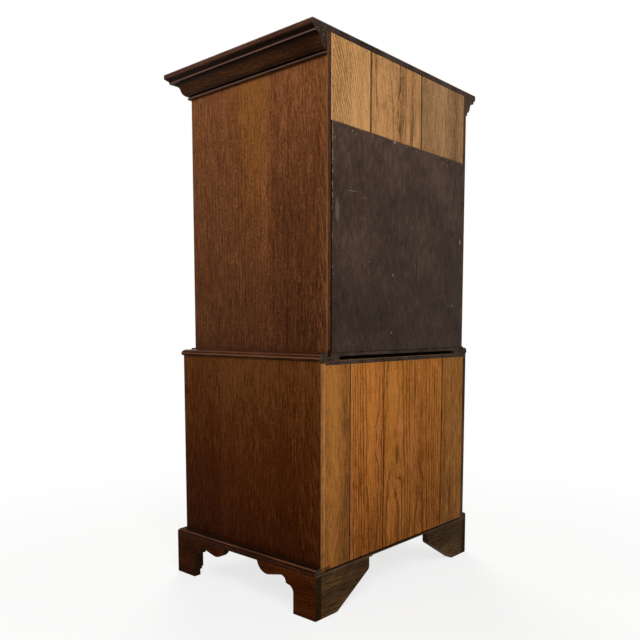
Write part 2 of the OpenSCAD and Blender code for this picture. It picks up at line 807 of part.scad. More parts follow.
// Turned post at the right-hand end of a handle: threaded shank, collar, neck and bored ball head
module post() {
    ball_a = asin(neck_r / head_r);
    end_z = -front_t - nut_t - shank_end;
    collar_z = rose_t + fit_gap;
    difference() {
        rotate([90, 0, 0]) rotate_extrude() polygon(concat(
            [
                [0, end_z], [shank_r, end_z], [shank_r, collar_z], [collar_r, collar_z],
                [collar_r, collar_z + collar_t], [neck_r, collar_z + 2 * collar_t],
            ],
            arc([0, post_h], head_r, ball_a - 90, 90)
        ));
        translate([-head_r - eps, -post_h, 0]) rotate([0, 90, 0])
            cylinder(h = head_r + eps + pin_r, r = pin_r + pin_gap);
    }
}

// Round rose with a rounded rim and a raised middle
module rose() {
    hole = shank_r + fit_gap;
    rotate([90, 0, 0]) rotate_extrude() polygon(concat(
        [[hole, 0], [rose_r, 0]],
        arc([rose_r - rose_t / 2, rose_t / 2], rose_t / 2, 0, 180),
        [[rose_boss_r, rose_t / 2], [rose_boss_r, rose_t], [hole, rose_t]]
    ));
}

module nut() {
    translate([0, front_t + nut_t, 0]) rotate([90, 0, 0]) linear_extrude(nut_t) difference() {
        square(nut_w, center = true);
        circle(shank_r + fit_gap);
    }
}

module drawer_brasses(d) {
    color(BRASS) in_opening(d) for (k = handle_sides(d))
        translate([handle_x(d, k), 0, open_h(d) / 2]) both_sides() translate([post_centres / 2, 0, 0]) {
            post();
            rose();
            nut();
        }
}

// Arc of the bail's rod in its own plane, from angle a0 to a1 round c
module rod_arc(c, r, a0, a1) {
    translate([c.x, 0, c.y]) rotate([90, 0, 0]) rotate([0, 0, a0])
        rotate_extrude(angle = a1 - a0) translate([r, 0]) circle(rod_r);
}

// Swan-neck bail: pin, neck, knop and bend on each side, and a swelled grip between the bends
module bail() {
    neck = [post_centres / 2 - head_r - bail_gap, -shoulder_r];
    turn = neck + (shoulder_r + bend_r) * [-cos(sweep_a), -sin(sweep_a)];
    core_r = rod_r - fit_gap;
    both_sides() {
        translate([neck.x - eps, 0, 0]) rotate([0, 90, 0])
            cylinder(h = post_centres / 2 + pin_r - bail_gap - neck.x + eps, r = pin_r);
        rod_arc(neck, shoulder_r, 90, 180 + sweep_a);
        rod_arc(turn, bend_r, -90, sweep_a);
        translate([turn.x + bend_r * cos(sweep_a), 0, turn.y + bend_r * sin(sweep_a)]) sphere(knop_r);
    }
    translate([0, 0, turn.y - bend_r]) rotate([0, 90, 0]) rotate_extrude() polygon(concat(
        [[0, -turn.x - eps], [core_r, -turn.x - eps], [core_r, -turn.x]],
        [for (i = [-arc_steps:arc_steps]) let (t = i / arc_steps)
            [rod_r + grip_swell * (1 + cos(180 * t)) / 2, turn.x * t]],
        [[core_r, turn.x], [core_r, turn.x + eps], [0, turn.x + eps]]
    ));
}

module drawer_bail(d, k) {
    color(BRASS) in_opening(d) translate([handle_x(d, k), -post_h, open_h(d) / 2]) bail();
}

mirror([1, 0, 0]) upper_side();  // upper_side_left
upper_side();  // upper_side_right
upper_top_board();
upper_bottom_board();
upper_backboards();
back_cover_panel();
upper_rails();
upper_runners();
cornice();
mirror([1, 0, 0]) lower_side();  // lower_side_left
lower_side();  // lower_side_right
lower_top_board();
lower_bottom_board();
lower_backboards();
lower_rails();
lower_runners();
waist_moulding();
base_frame();
base_moulding();
front_feet();
rear_feet();
foot_glue_blocks();
for (d = DRAWERS) {
    drawer_front(d);
    drawer_box(d);
    drawer_brasses(d);
    for (k = handle_sides(d))
        drawer_bail(d, k);
}
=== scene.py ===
import math
import random

import bpy
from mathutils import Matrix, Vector


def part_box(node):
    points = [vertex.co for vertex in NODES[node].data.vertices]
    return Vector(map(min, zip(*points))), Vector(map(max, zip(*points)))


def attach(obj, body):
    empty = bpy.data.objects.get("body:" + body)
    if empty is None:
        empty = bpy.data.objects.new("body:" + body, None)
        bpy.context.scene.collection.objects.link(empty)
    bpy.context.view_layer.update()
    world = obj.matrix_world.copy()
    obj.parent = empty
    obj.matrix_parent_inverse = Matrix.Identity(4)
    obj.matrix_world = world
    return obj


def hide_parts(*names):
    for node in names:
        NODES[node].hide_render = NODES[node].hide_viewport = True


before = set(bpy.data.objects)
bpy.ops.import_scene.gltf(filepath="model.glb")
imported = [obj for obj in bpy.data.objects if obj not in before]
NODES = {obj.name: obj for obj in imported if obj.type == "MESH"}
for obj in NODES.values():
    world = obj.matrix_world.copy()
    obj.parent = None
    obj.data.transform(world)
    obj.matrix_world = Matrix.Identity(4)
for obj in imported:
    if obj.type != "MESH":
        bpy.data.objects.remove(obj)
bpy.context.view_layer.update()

# Camera
# The photograph was taken from behind the right-hand rear corner, at about the height of the waist.
# The lens was raised, which keeps the uprights nearly parallel.
PHOTO_SIDE = 640
FOCAL_PX = 695.9
OPTICAL_CENTRE_Y = 390
SENSOR_MM = 36
EYE = Vector((1.842, 1.603, 0.8425))
YAW = math.radians(-138.41)
PITCH = math.radians(-5.29)


def put_object(name, data):
    """A new object in the scene."""
    made = bpy.data.objects.new(name, data)
    bpy.context.collection.objects.link(made)
    return made


camera = put_object("camera", bpy.data.cameras.new("camera"))
bpy.context.scene.camera = camera
camera.data.sensor_width = SENSOR_MM
camera.data.lens = FOCAL_PX / PHOTO_SIDE * SENSOR_MM
camera.data.shift_y = (OPTICAL_CENTRE_Y - PHOTO_SIDE / 2) / PHOTO_SIDE
camera.location = EYE
gaze = Vector((math.cos(YAW) * math.cos(PITCH), math.sin(YAW) * math.cos(PITCH), math.sin(PITCH)))
camera.rotation_euler = gaze.to_track_quat("-Z", "Y").to_euler()


# Studio
# A pale floor that runs out into a white backdrop, an even pale surround, and two large soft lamps at opposite
# corners, so that every side is lit alike. They hang high, so the light falls off a little towards the feet.
def linear(hex_colour):
    """An sRGB hex colour as linear RGBA."""
    parts = [int(hex_colour[i:i + 2], 16) / 255 for i in (1, 3, 5)]
    return [p / 12.92 if p <= 0.04045 else ((p + 0.055) / 1.055) ** 2.4 for p in parts] + [1.0]


def add(tree, kind, inputs=None, **settings):
    """Adds one node and gives its outputs. An input that is given an output is linked, and any other is set."""
    node = tree.nodes.new(kind)
    for name, value in settings.items():
        if name == "stops":
            while len(node.color_ramp.elements) < len(value):
                node.color_ramp.elements.new(0.5)
            for element, (place, colour) in zip(node.color_ramp.elements, value):
                element.position = place
                element.color = colour
        else:
            setattr(node, name, value)
    for key, value in (inputs or {}).items():
        if isinstance(value, bpy.types.NodeSocket):
            tree.links.new(value, node.inputs[key])
        else:
            node.inputs[key].default_value = value
    return node.outputs


def new_material(name):
    """An empty node material and its tree."""
    made = bpy.data.materials.new(name)
    made.use_nodes = True
    made.node_tree.nodes.clear()
    return made, made.node_tree


def seen_directly(tree):
    """1 for what the camera sees, also by reflection and through glass, and 0 for what only lights other things."""
    rays = add(tree, "ShaderNodeLightPath")
    seen = add(tree, "ShaderNodeMath", {0: rays["Is Camera Ray"], 1: rays["Is Glossy Ray"]}, operation="MAXIMUM")
    return add(tree, "ShaderNodeMath", {0: seen[0], 1: rays["Is Transmission Ray"]}, operation="MAXIMUM")[0]


BACKDROP_COLOUR = "#ffffff"
FLOOR_COLOUR = "#e6e4e1"
SURROUND_STRENGTH = 0.30
FLOOR_SIDE = 40
SHADOW_SHARE = 0.24
SHADOW_REACH = (0.8, 2.2)

world = bpy.data.worlds.new("studio")
bpy.context.scene.world = world
world.use_nodes = True
tree = world.node_tree
tree.nodes.clear()
surround = add(tree, "ShaderNodeBackground", {"Color": linear(BACKDROP_COLOUR), "Strength": SURROUND_STRENGTH})
backdrop = add(tree, "ShaderNodeBackground", {"Color": linear(BACKDROP_COLOUR), "Strength": 1.0})
mix = add(tree, "ShaderNodeMixShader", {0: seen_directly(tree), 1: surround[0], 2: backdrop[0]})
add(tree, "ShaderNodeOutputWorld", {"Surface": mix[0]})

floor_mesh = bpy.data.meshes.new("floor")
half = FLOOR_SIDE / 2
floor_mesh.from_pydata([(-half, -half, 0), (half, -half, 0), (half, half, 0), (-half, half, 0)], [], [(0, 1, 2, 3)])
floor = put_object("floor", floor_mesh)
paper, tree = new_material("white studio paper")
spot = add(tree, "ShaderNodeTexCoord")["Object"]
away = add(tree, "ShaderNodeVectorMath", {0: spot}, operation="LENGTH")
white = add(tree, "ShaderNodeMapRange", {"Value": away["Value"], "From Min": SHADOW_REACH[0],
                                         "From Max": SHADOW_REACH[1], "To Min": 1 - SHADOW_SHARE, "To Max": 1.0},
            interpolation_type="SMOOTHSTEP")
share = add(tree, "ShaderNodeMath", {0: seen_directly(tree), 1: white[0]}, operation="MULTIPLY")
lit = add(tree, "ShaderNodeBsdfDiffuse", {"Color": linear(FLOOR_COLOUR)})
glow = add(tree, "ShaderNodeEmission", {"Color": linear(BACKDROP_COLOUR), "Strength": 1.0})
mix = add(tree, "ShaderNodeMixShader", {0: share[0], 1: lit[0], 2: glow[0]})
add(tree, "ShaderNodeOutputMaterial", {"Surface": mix[0]})
floor_mesh.materials.append(paper)

# Place, aim, side in metres and power in watts of each lamp
LAMPS = {
    "rear right": ((2.3, 2.6, 3.1), (0, 0, 1.2), 2.2, 150),
    "front left": ((-2.3, -2.6, 3.1), (0, 0, 1.2), 2.2, 150),
}
for name, (place, aim, side, power) in LAMPS.items():
    lamp = put_object(name + " lamp", bpy.data.lights.new(name + " lamp", "AREA"))
    lamp.data.size = side
    lamp.data.energy = power
    lamp.location = place
    lamp.rotation_euler = (Vector(aim) - Vector(place)).to_track_quat("-Z", "Y").to_euler()


# Lower case: side boards
# Oak boards jointed edge to edge, stained brown, varnished and waxed, with the grain upright. Their rear
# edges were only wiped with stain, and their inner faces are bare.
mm = 0.001
# The dark colour of dirt and of painted shade, and the colour of dust
DIRT_AND_SHADE, DUST = "#0d0603", "#8a7f74"
YELLOWER, GOLDEN = "#eef2ae", "#fbffb4"
VARNISH_TINT = "#b98a62"


def blots(tree, place, size, detail, roughness=0.5):
    """Uneven blots of the given sizes in metres along the three axes."""
    place = add(tree, "ShaderNodeVectorMath", {0: place, 1: [1 / length for length in size]}, operation="MULTIPLY")
    return add(tree, "ShaderNodeTexNoise", {
        "Vector": place[0], "Scale": 1.0, "Detail": detail, "Roughness": roughness})


def off_line(tree, coordinate, middle):
    """How far a point lies to either side of a line."""
    aside = add(tree, "ShaderNodeMath", {0: coordinate, 1: middle}, operation="SUBTRACT")[0]
    return add(tree, "ShaderNodeMath", {0: aside}, operation="ABSOLUTE")[0]


def oak(name, tones, pore, axes="XYZ", seed=0, seams=(), fibre=1.6, specks=0.8, bands=0.5, patches=0.7, boards=0.2,
        rings=None, pores=0.5, flecks=None, fade=None, streaks=(), golden=None, lines=(), knots=(), edges=(),
        dirt_reach=2.4 * mm, tint=0.0, hollow_dirt_and_shade=0.0, wear_and_highlight=0.0, worn="#6b4f42", dust=0.0, roughness=0.5, gloss=0.2):
    """Sawn oak. axes names the object's axes that run across the grain, through the board and along it."""
    made, tree = new_material(name)
    place = add(tree, "ShaderNodeTexCoord")["Object"]
    parted = add(tree, "ShaderNodeSeparateXYZ", {0: place})
    across, through, along = (parted["XYZ".index(letter)] for letter in axes)
    local = add(tree, "ShaderNodeCombineXYZ", {0: across, 1: through, 2: along})[0]

    # Boards that are joined edge to edge come from other parts of the log, each with its own tone
    board = seed
    for seam in seams:
        past = add(tree, "ShaderNodeMath", {0: across, 1: seam}, operation="GREATER_THAN")[0]
        board = add(tree, "ShaderNodeMath", {0: board, 1: past})[0]
    chance = add(tree, "ShaderNodeTexWhiteNoise", {"W": board}, noise_dimensions="1D")

    # The grain wanders by some 5 mm over 150 mm
    wander = blots(tree, local, (0.09, 0.09, 0.28), 2.0)["Color"]
    wander = add(tree, "ShaderNodeVectorMath", {0: wander, 1: (0.5, 0.5, 0.5)}, operation="SUBTRACT")[0]
    wander = add(tree, "ShaderNodeVectorMath", {0: wander, 1: (0.022, 0.01, 0.0)}, operation="MULTIPLY")[0]
    wavy = add(tree, "ShaderNodeVectorMath", {0: local, 1: wander})[0]
    wavy_across = add(tree, "ShaderNodeSeparateXYZ", {0: wavy})[0]
    moved = add(tree, "ShaderNodeVectorMath", {0: chance["Color"], 1: (0.7, 0.7, 3.0)}, operation="MULTIPLY")[0]
    moved = add(tree, "ShaderNodeVectorMath", {0: wavy, 1: moved})[0]

    # Knots darken, and push the rings aside: place across and along the grain, and radius
    knot_shade = push = 0.0
    for knot_across, knot_along, knot_r in knots:
        centre = add(tree, "ShaderNodeCombineXYZ", {0: knot_across, 1: through, 2: knot_along})[0]
        off = add(tree, "ShaderNodeVectorMath", {0: wavy, 1: centre}, operation="SUBTRACT")[0]
        off = add(tree, "ShaderNodeVectorMath", {0: off, 1: (1.0, 0.0, 0.25)}, operation="MULTIPLY")[0]
        away = add(tree, "ShaderNodeVectorMath", {0: off}, operation="LENGTH")["Value"]
        core = add(tree, "ShaderNodeMapRange", {
            "Value": away, "From Min": knot_r, "From Max": 0.0}, interpolation_type="SMOOTHSTEP")[0]
        near = add(tree, "ShaderNodeMapRange", {"Value": away, "From Min": knot_r * 4, "From Max": 0.0,
                                                "To Max": 12 * mm}, interpolation_type="SMOOTHSTEP")[0]
        knot_shade = add(tree, "ShaderNodeMath", {0: knot_shade, 1: core}, operation="MAXIMUM")[0]
        push = add(tree, "ShaderNodeMath", {0: push, 1: near})[0]

    # Fibres 4 by 50 mm, specks 3 by 8 mm and pores 2.4 by 22 mm: coarser than real ones, so that they show
    fibre_noise = blots(tree, moved, (0.004, 0.004, 0.05), 2.0, 0.6)["Fac"]
    speck_noise = blots(tree, moved, (0.003, 0.003, 0.008), 1.0)["Fac"]
    pore_noise = blots(tree, moved, (0.0024, 0.0024, 0.022), 1.0)["Fac"]
    open_pore = add(tree, "ShaderNodeMapRange", {"Value": pore_noise, "From Min": 0.54, "From Max": 0.70})[0]
    band_noise = blots(tree, moved, (0.045, 0.045, 0.8), 1.0)["Fac"]
    patch_noise = add(tree, "ShaderNodeTexNoise", {"Vector": place, "Scale": 1 / 0.22, "Detail": 4.0})["Fac"]

    # How dark each point is, from 0, the lightest tone, to 1, the darkest
    tone = 0.5
    for source, weight in ((fibre_noise, fibre), (speck_noise, specks), (band_noise, bands), (patch_noise, patches),
                           (chance["Value"], boards)):
        centred = add(tree, "ShaderNodeMath", {0: source, 1: 0.5}, operation="SUBTRACT")[0]
        tone = add(tree, "ShaderNodeMath", {0: centred, 1: weight, 2: tone}, operation="MULTIPLY_ADD")[0]

    # Growth rings round the heart of the log: its place across, its depth behind the face, its slant away from
    # it, the rings' spacing and how dark they are. Right over the heart, where the cut follows them, they fade.
    if rings:
        heart, depth, slant, step, strength = rings
        beside = add(tree, "ShaderNodeMath", {0: wavy_across, 1: heart}, operation="SUBTRACT")[0]
        behind = add(tree, "ShaderNodeMath", {0: along, 1: slant, 2: depth}, operation="MULTIPLY_ADD")[0]
        behind = add(tree, "ShaderNodeMath", {0: behind, 1: push})[0]
        out = add(tree, "ShaderNodeCombineXYZ", {0: beside, 1: behind})[0]
        radius = add(tree, "ShaderNodeVectorMath", {0: out}, operation="LENGTH")["Value"]
        ripple = blots(tree, moved, (0.03, 0.03, 0.09), 2.0)["Fac"]
        ripple = add(tree, "ShaderNodeMath", {0: ripple, 1: 0.7}, operation="MULTIPLY")[0]
        count = add(tree, "ShaderNodeMath", {0: radius, 1: 1 / step, 2: ripple}, operation="MULTIPLY_ADD")[0]
        phase = add(tree, "ShaderNodeMath", {0: count}, operation="FRACT")[0]
        number = add(tree, "ShaderNodeMath", {0: count}, operation="FLOOR")[0]
        force = add(tree, "ShaderNodeTexWhiteNoise", {"W": number}, noise_dimensions="1D")["Value"]
        force = add(tree, "ShaderNodeMath", {0: force, 1: 0.8, 2: 0.2}, operation="MULTIPLY_ADD")[0]
        early = add(tree, "ShaderNodeMapRange", {
            "Value": phase, "From Min": 0.4, "From Max": 0.0}, interpolation_type="SMOOTHSTEP")[0]
        early = add(tree, "ShaderNodeMath", {0: early, 1: force}, operation="MULTIPLY")[0]
        steep = add(tree, "ShaderNodeMath", {0: beside, 1: radius}, operation="DIVIDE")[0]
        steep = add(tree, "ShaderNodeMath", {0: steep}, operation="ABSOLUTE")[0]
        steep = add(tree, "ShaderNodeMapRange", {"Value": steep, "From Min": 0.1, "From Max": 0.6, "To Min": 0.2})[0]
        early = add(tree, "ShaderNodeMath", {0: early, 1: steep}, operation="MULTIPLY")[0]
        tone = add(tree, "ShaderNodeMath", {0: early, 1: strength, 2: tone}, operation="MULTIPLY_ADD")[0]
        porous = add(tree, "ShaderNodeMath", {0: early, 1: 0.75, 2: 0.4}, operation="MULTIPLY_ADD")[0]
        open_pore = add(tree, "ShaderNodeMath", {0: open_pore, 1: porous}, operation="MULTIPLY")[0]

    # Long streaks: place across the grain, half width, from and to along it, and how much darker
    for middle, half_width, low_end, high_end, amount in streaks:
        body = add(tree, "ShaderNodeMapRange", {"Value": off_line(tree, wavy_across, middle), "From Min": half_width,
                                                "From Max": 0.0, "To Max": amount}, interpolation_type="SMOOTHSTEP")[0]
        soft = 0.25 * (high_end - low_end)
        for end, inwards in ((low_end, soft), (high_end, -soft)):
            within = add(tree, "ShaderNodeMapRange", {"Value": along, "From Min": end - inwards,
                                                      "From Max": end + inwards}, interpolation_type="SMOOTHSTEP")[0]
            body = add(tree, "ShaderNodeMath", {0: body, 1: within}, operation="MULTIPLY")[0]
        tone = add(tree, "ShaderNodeMath", {0: body, 1: tone})[0]

    # Painted light from above, with some fading, makes the top lighter and the foot darker: from and to above the
    # floor, and how much darker or lighter
    if fade:
        low_end, high_end, amount = fade
        height = add(tree, "ShaderNodeMapRange", {
            "Value": parted[2], "From Min": low_end, "From Max": high_end, "To Min": amount, "To Max": -amount})[0]
        tone = add(tree, "ShaderNodeMath", {0: tone, 1: height})[0]
    colour = add(tree, "ShaderNodeValToRGB", {"Fac": tone}, stops=list(zip((0.0, 0.5, 1.0), map(linear, tones))))
    colour = colour["Color"]

    # The tone runs from redder to yellower in bands 14 mm wide
    if tint:
        yellower = add(tree, "ShaderNodeMapRange", {
            "Value": blots(tree, moved, (0.014, 0.014, 0.2), 2.0)["Fac"], "From Min": 0.4, "From Max": 0.62,
            "To Max": tint})[0]
        colour = add(tree, "ShaderNodeMix", {
            "Factor": yellower, "A": colour, "B": linear(YELLOWER)}, data_type="RGBA", blend_type="MULTIPLY")["Result"]

    # One board of a side is more golden: middle and half width across, from and to along it, and how much
    if golden:
        middle, half_width, low_end, high_end, amount = golden
        body = add(tree, "ShaderNodeMapRange", {"Value": off_line(tree, across, middle), "From Min": half_width,
                                                "From Max": half_width * 0.2, "To Max": amount},
                   interpolation_type="SMOOTHSTEP")[0]
        rise = add(tree, "ShaderNodeMapRange", {
            "Value": along, "From Min": low_end, "From Max": high_end}, interpolation_type="SMOOTHSTEP")[0]
        body = add(tree, "ShaderNodeMath", {0: body, 1: rise}, operation="MULTIPLY")[0]
        colour = add(tree, "ShaderNodeMix", {
            "Factor": body, "A": colour, "B": linear(GOLDEN)}, data_type="RGBA", blend_type="MULTIPLY")["Result"]

    # Rays of the wood, cut aslant, show as short pale flecks in part of a board: from and to across it, their
    # slant in degrees, and how much
    if flecks:
        first, last, lean, amount = flecks
        leaning = add(tree, "ShaderNodeMapping", {"Vector": moved, "Rotation": (0, math.radians(lean), 0)})[0]
        fleck = add(tree, "ShaderNodeMapRange", {
            "Value": blots(tree, leaning, (0.005, 0.005, 0.06), 0.0)["Fac"], "From Min": 0.52,
            "From Max": 0.68, "To Max": amount})[0]
        inside = add(tree, "ShaderNodeMapRange", {
            "Value": across, "From Min": first, "From Max": last}, interpolation_type="SMOOTHSTEP")[0]
        fleck = add(tree, "ShaderNodeMath", {0: fleck, 1: inside}, operation="MULTIPLY")[0]
        colour = add(tree, "ShaderNodeMix", {
            "Factor": fleck, "A": colour, "B": linear(tones[0])}, data_type="RGBA")["Result"]
    dark = add(tree, "ShaderNodeMath", {0: open_pore, 1: pores}, operation="MULTIPLY")[0]
    if knots:
        knot_shade = add(tree, "ShaderNodeMath", {0: knot_shade, 1: 0.8}, operation="MULTIPLY")[0]
        dark = add(tree, "ShaderNodeMath", {0: dark, 1: knot_shade}, operation="MAXIMUM")[0]

    # Dirt lies along the joints between boards
    for edge in edges:
        ragged = add(tree, "ShaderNodeMath", {
            0: fibre_noise, 1: -4 * mm, 2: off_line(tree, across, edge)}, operation="MULTIPLY_ADD")[0]
        dirt = add(tree, "ShaderNodeMapRange", {
            "Value": ragged, "From Min": dirt_reach, "From Max": -1 * mm}, interpolation_type="SMOOTHSTEP")[0]
        dark = add(tree, "ShaderNodeMath", {0: dark, 1: dirt}, operation="MAXIMUM")[0]
    colour = add(tree, "ShaderNodeMix", {"Factor": dark, "A": colour, "B": linear(pore)}, data_type="RGBA")["Result"]

    # Darker in hollows by ambient occlusion: dirt and painted shade. Pale arrises: rubbed finish and painted
    # highlights
    if hollow_dirt_and_shade:
        hollow = add(tree, "ShaderNodeAmbientOcclusion", {"Distance": 0.04}, samples=8, only_local=False)
        hollow = add(tree, "ShaderNodeMapRange", {
            "Value": hollow["AO"], "From Min": 0.9, "From Max": 0.35, "To Max": hollow_dirt_and_shade})[0]
        colour = add(tree, "ShaderNodeMix", {
            "Factor": hollow, "A": colour, "B": linear(DIRT_AND_SHADE)}, data_type="RGBA")["Result"]
    if wear_and_highlight:
        rounded = add(tree, "ShaderNodeBevel", {"Radius": 2.2 * mm}, samples=6)[0]
        true_face = add(tree, "ShaderNodeNewGeometry")["True Normal"]
        match = add(tree, "ShaderNodeVectorMath", {0: rounded, 1: true_face}, operation="DOT_PRODUCT")["Value"]
        pale_marks = add(tree, "ShaderNodeMath", {0: patch_noise, 1: 0.1, 2: match}, operation="MULTIPLY_ADD")[0]
        pale_marks = add(tree, "ShaderNodeMapRange", {
            "Value": pale_marks, "From Min": 1.0, "From Max": 0.86, "To Max": wear_and_highlight})[0]
        colour = add(tree, "ShaderNodeMix", {
            "Factor": pale_marks, "A": colour, "B": linear(worn)}, data_type="RGBA")["Result"]

    # Lines along the grain: middle and half width across it, how much, and where given from and to above the
    # floor. They darken where the amount is above 0, as dirt and as painted shade in hollows and gaps between parts,
    # and lighten where it is below, as rubbed wear and as painted highlights on arrises.
    for middle, half_width, amount, *reach in lines:
        ragged = add(tree, "ShaderNodeMath", {
            0: patch_noise, 1: 2 * mm, 2: off_line(tree, across, middle)}, operation="MULTIPLY_ADD")[0]
        line = add(tree, "ShaderNodeMapRange", {"Value": ragged, "From Min": half_width + 1.4 * mm,
                                                "From Max": half_width - 0.4 * mm, "To Max": abs(amount)},
                   interpolation_type="SMOOTHSTEP")[0]
        for end, operation in zip(reach, ("GREATER_THAN", "LESS_THAN")):
            within = add(tree, "ShaderNodeMath", {0: parted[2], 1: end}, operation=operation)[0]
            line = add(tree, "ShaderNodeMath", {0: line, 1: within}, operation="MULTIPLY")[0]
        colour = add(tree, "ShaderNodeMix", {
            "Factor": line, "A": colour, "B": linear(worn if amount < 0 else DIRT_AND_SHADE)}, data_type="RGBA")["Result"]
    if dust:
        cloud = add(tree, "ShaderNodeTexNoise", {"Vector": place, "Scale": 1 / 0.05, "Detail": 6.0, "Roughness": 0.65})
        cloud = add(tree, "ShaderNodeMapRange", {
            "Value": cloud["Fac"], "From Min": 0.42, "From Max": 0.75, "To Max": dust})[0]
        colour = add(tree, "ShaderNodeMix", {
            "Factor": cloud, "A": colour, "B": linear(DUST)}, data_type="RGBA")["Result"]

    sheen = add(tree, "ShaderNodeMapRange", {"Value": patch_noise, "From Min": 0.3, "From Max": 0.7,
                                             "To Min": roughness - 0.06, "To Max": roughness + 0.08})
    relief = add(tree, "ShaderNodeMath", {0: open_pore, 1: -pores, 2: fibre_noise}, operation="MULTIPLY_ADD")
    turned = {"Normal": rounded} if wear_and_highlight else {}
    bump = add(tree, "ShaderNodeBump", {"Height": relief[0], "Strength": 0.35, "Distance": 0.5 * mm, **turned})
    wood = add(tree, "ShaderNodeBsdfPrincipled", {
        "Base Color": colour, "Roughness": sheen[0], "Normal": bump[0], "IOR": 1.5,
        "Specular IOR Level": gloss, "Specular Tint": linear(VARNISH_TINT)})
    add(tree, "ShaderNodeOutputMaterial", {"Surface": wood[0]})
    return made


def finish_node(node, *materials, choose=None):
    """Gives a carried-over CAD node its materials; choose picks one for a face."""
    mesh = NODES[node].data
    mesh.materials.clear()
    for made in materials:
        mesh.materials.append(made)
    if choose:
        for face in mesh.polygons:
            face.material_index = choose(face)


def side_faces(node):
    """Picks 0 for the shown faces of a side board, 1 for its rear edge and 2 for its inner faces."""
    low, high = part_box(node)
    outer = max(abs(low.x), abs(high.x))
    return lambda face: 1 if face.normal.y > 0.9 and face.center.y > high.y - mm else int(
        abs(face.center.x) < outer - mm and face.center.y > low.y + mm) * 2


low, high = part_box("lower_side_right")
LOWER_FRONT, LOWER_HALF, BACK = low.y, high.x, high.y
LOWER_RISE = (0.14, 0.74)
SIDE_RINGS = (0.9, 0.3, 0.03, 0.013, 0.2)
# They are painted lighter towards the top, as light falls from above, with some fading, and darker next to the waist
# and base mouldings by ambient occlusion: painted shade.
lower_side_oak = oak("waxed brown oak, lower sides", ("#613a1a", "#431d05", "#240900"), "#180802", axes="YXZ",
                     seed=3, seams=(-0.11, 0.13), fibre=1.3, specks=0.8, bands=0.2, patches=0.3, boards=0.1,
                     rings=SIDE_RINGS, pores=0.35, flecks=(0.22, 0.26, 14, 0.35), fade=(*LOWER_RISE, 0.32),
                     hollow_dirt_and_shade=0.5, roughness=0.42, gloss=0.016)
strip_middle = LOWER_HALF - 12 * mm
# A pale line along its outer arris is a painted highlight, a dark band at its top, under the waist moulding, is
# painted shade, and it is darker at its foot. It is painted lighter towards the top.
wiped_oak = oak("stain-wiped oak, right-hand rear edge", ("#a4703c", "#84562a", "#553316"), "#3d1f0a", seed=4,
                pores=0.4, fade=(0.1, 0.45, 0.2), worn="#6a4c2f", roughness=0.6, gloss=0.05,
                lines=((LOWER_HALF - 1 * mm, 2.5 * mm, -0.8), (LOWER_HALF - 7 * mm, 3 * mm, 0.3),
                       (strip_middle, 20 * mm, 0.85, 0.736, 0.8), (strip_middle, 20 * mm, 0.6, 0.0, 0.15)))
stained_edge_oak = oak("stained oak, left-hand rear edges", ("#5a3a20", "#3c2412", "#201208"), "#180c05", seed=5,
                       patches=0.9, pores=0.4, lines=((-LOWER_HALF + 36 * mm, 30 * mm, 0.8, 0.75, 0.772),),
                       roughness=0.6, gloss=0.05)
lining_look = dict(tones=("#b08a5c", "#96703f", "#6b4a28"), pore="#4a3019", pores=0.4, dust=0.15, roughness=0.65,
                   gloss=0.15)
lining_oak = oak("bare oak linings", axes="ZXY", seed=21, rings=(0.2, 0.1, 0.02, 0.009, 0.3), **lining_look)
lining_oak_upright = oak("bare oak linings, upright", axes="YXZ", seed=23, **lining_look)
lining_oak_across = oak("bare oak linings, across", axes="ZYX", seed=22, rings=(0.3, 0.1, 0.02, 0.009, 0.3),
                        **lining_look)
for node, rear in (("lower_side_left", stained_edge_oak), ("lower_side_right", wiped_oak)):
    finish_node(node, lower_side_oak, rear, lining_oak_upright, choose=side_faces(node))

# Lower case: top and bottom boards
# Plain oak across the case. Only their edges show, darkened by dirt and old finish.
edge_look = dict(tones=("#47362d", "#30241e", "#191210"), pore="#120c09", axes="ZYX", seed=9, fibre=1.8, patches=1.2,
                 pores=0.4, dust=0.12, roughness=0.6, gloss=0.05)
edge_oak = oak("dirty oak board edges", **edge_look)


def shown_edges(node):
    """Picks 1 for the rear edge of a board, 2 for its front edge and 0 for its other faces."""
    front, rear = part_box(node)[0].y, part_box(node)[1].y
    return lambda face: int(face.center.y > rear - mm) + 2 * int(face.center.y < front + mm)


front_look = dict(tones=("#8a552e", "#63391b", "#3a1d0d"), pore="#231008", fibre=1.7, pores=0.5, roughness=0.4,
                  gloss=0.25)
rail_look = dict(front_look, tones=("#75472a", "#512e18", "#2e170b"))
front_oak = oak("waxed brown oak, rails", axes="ZYX", seed=11, **rail_look)
for node in ("lower_top_board", "lower_bottom_board"):
    finish_node(node, lining_oak_across, edge_oak, front_oak, choose=shown_edges(node))

# Lower case: drawer rails
# Oak rails housed in the sides. Their front edges have the same brown finish as the drawers.
front_oak_upright = oak("waxed brown oak, uprights", axes="XYZ", seed=12, **front_look)


def front_edge(node, upright=None):
    """Picks 0 for the front edges of rails, 2 for those of an upright and 1 for all faces behind them."""
    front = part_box(node)[0].y
    return lambda face: 1 if face.center.y > front + mm else 2 if upright and upright(face.center) else 0


finish_node("lower_rails", front_oak, lining_oak_across, choose=front_edge("lower_rails"))

# Lower case: runners and drawer stops
# Unfinished oak strips, greyed by age and polished by the drawers.
finish_node("lower_runners", lining_oak)

# Lower case: backboards
# Five upright planks of sawn oak, never finished, nailed into the rabbets. They have gone orange-brown,
# and the joints between them have opened. The outer ones are plain, and the middle ones show the rings.
BOARD_BEVEL = 0.8 * mm


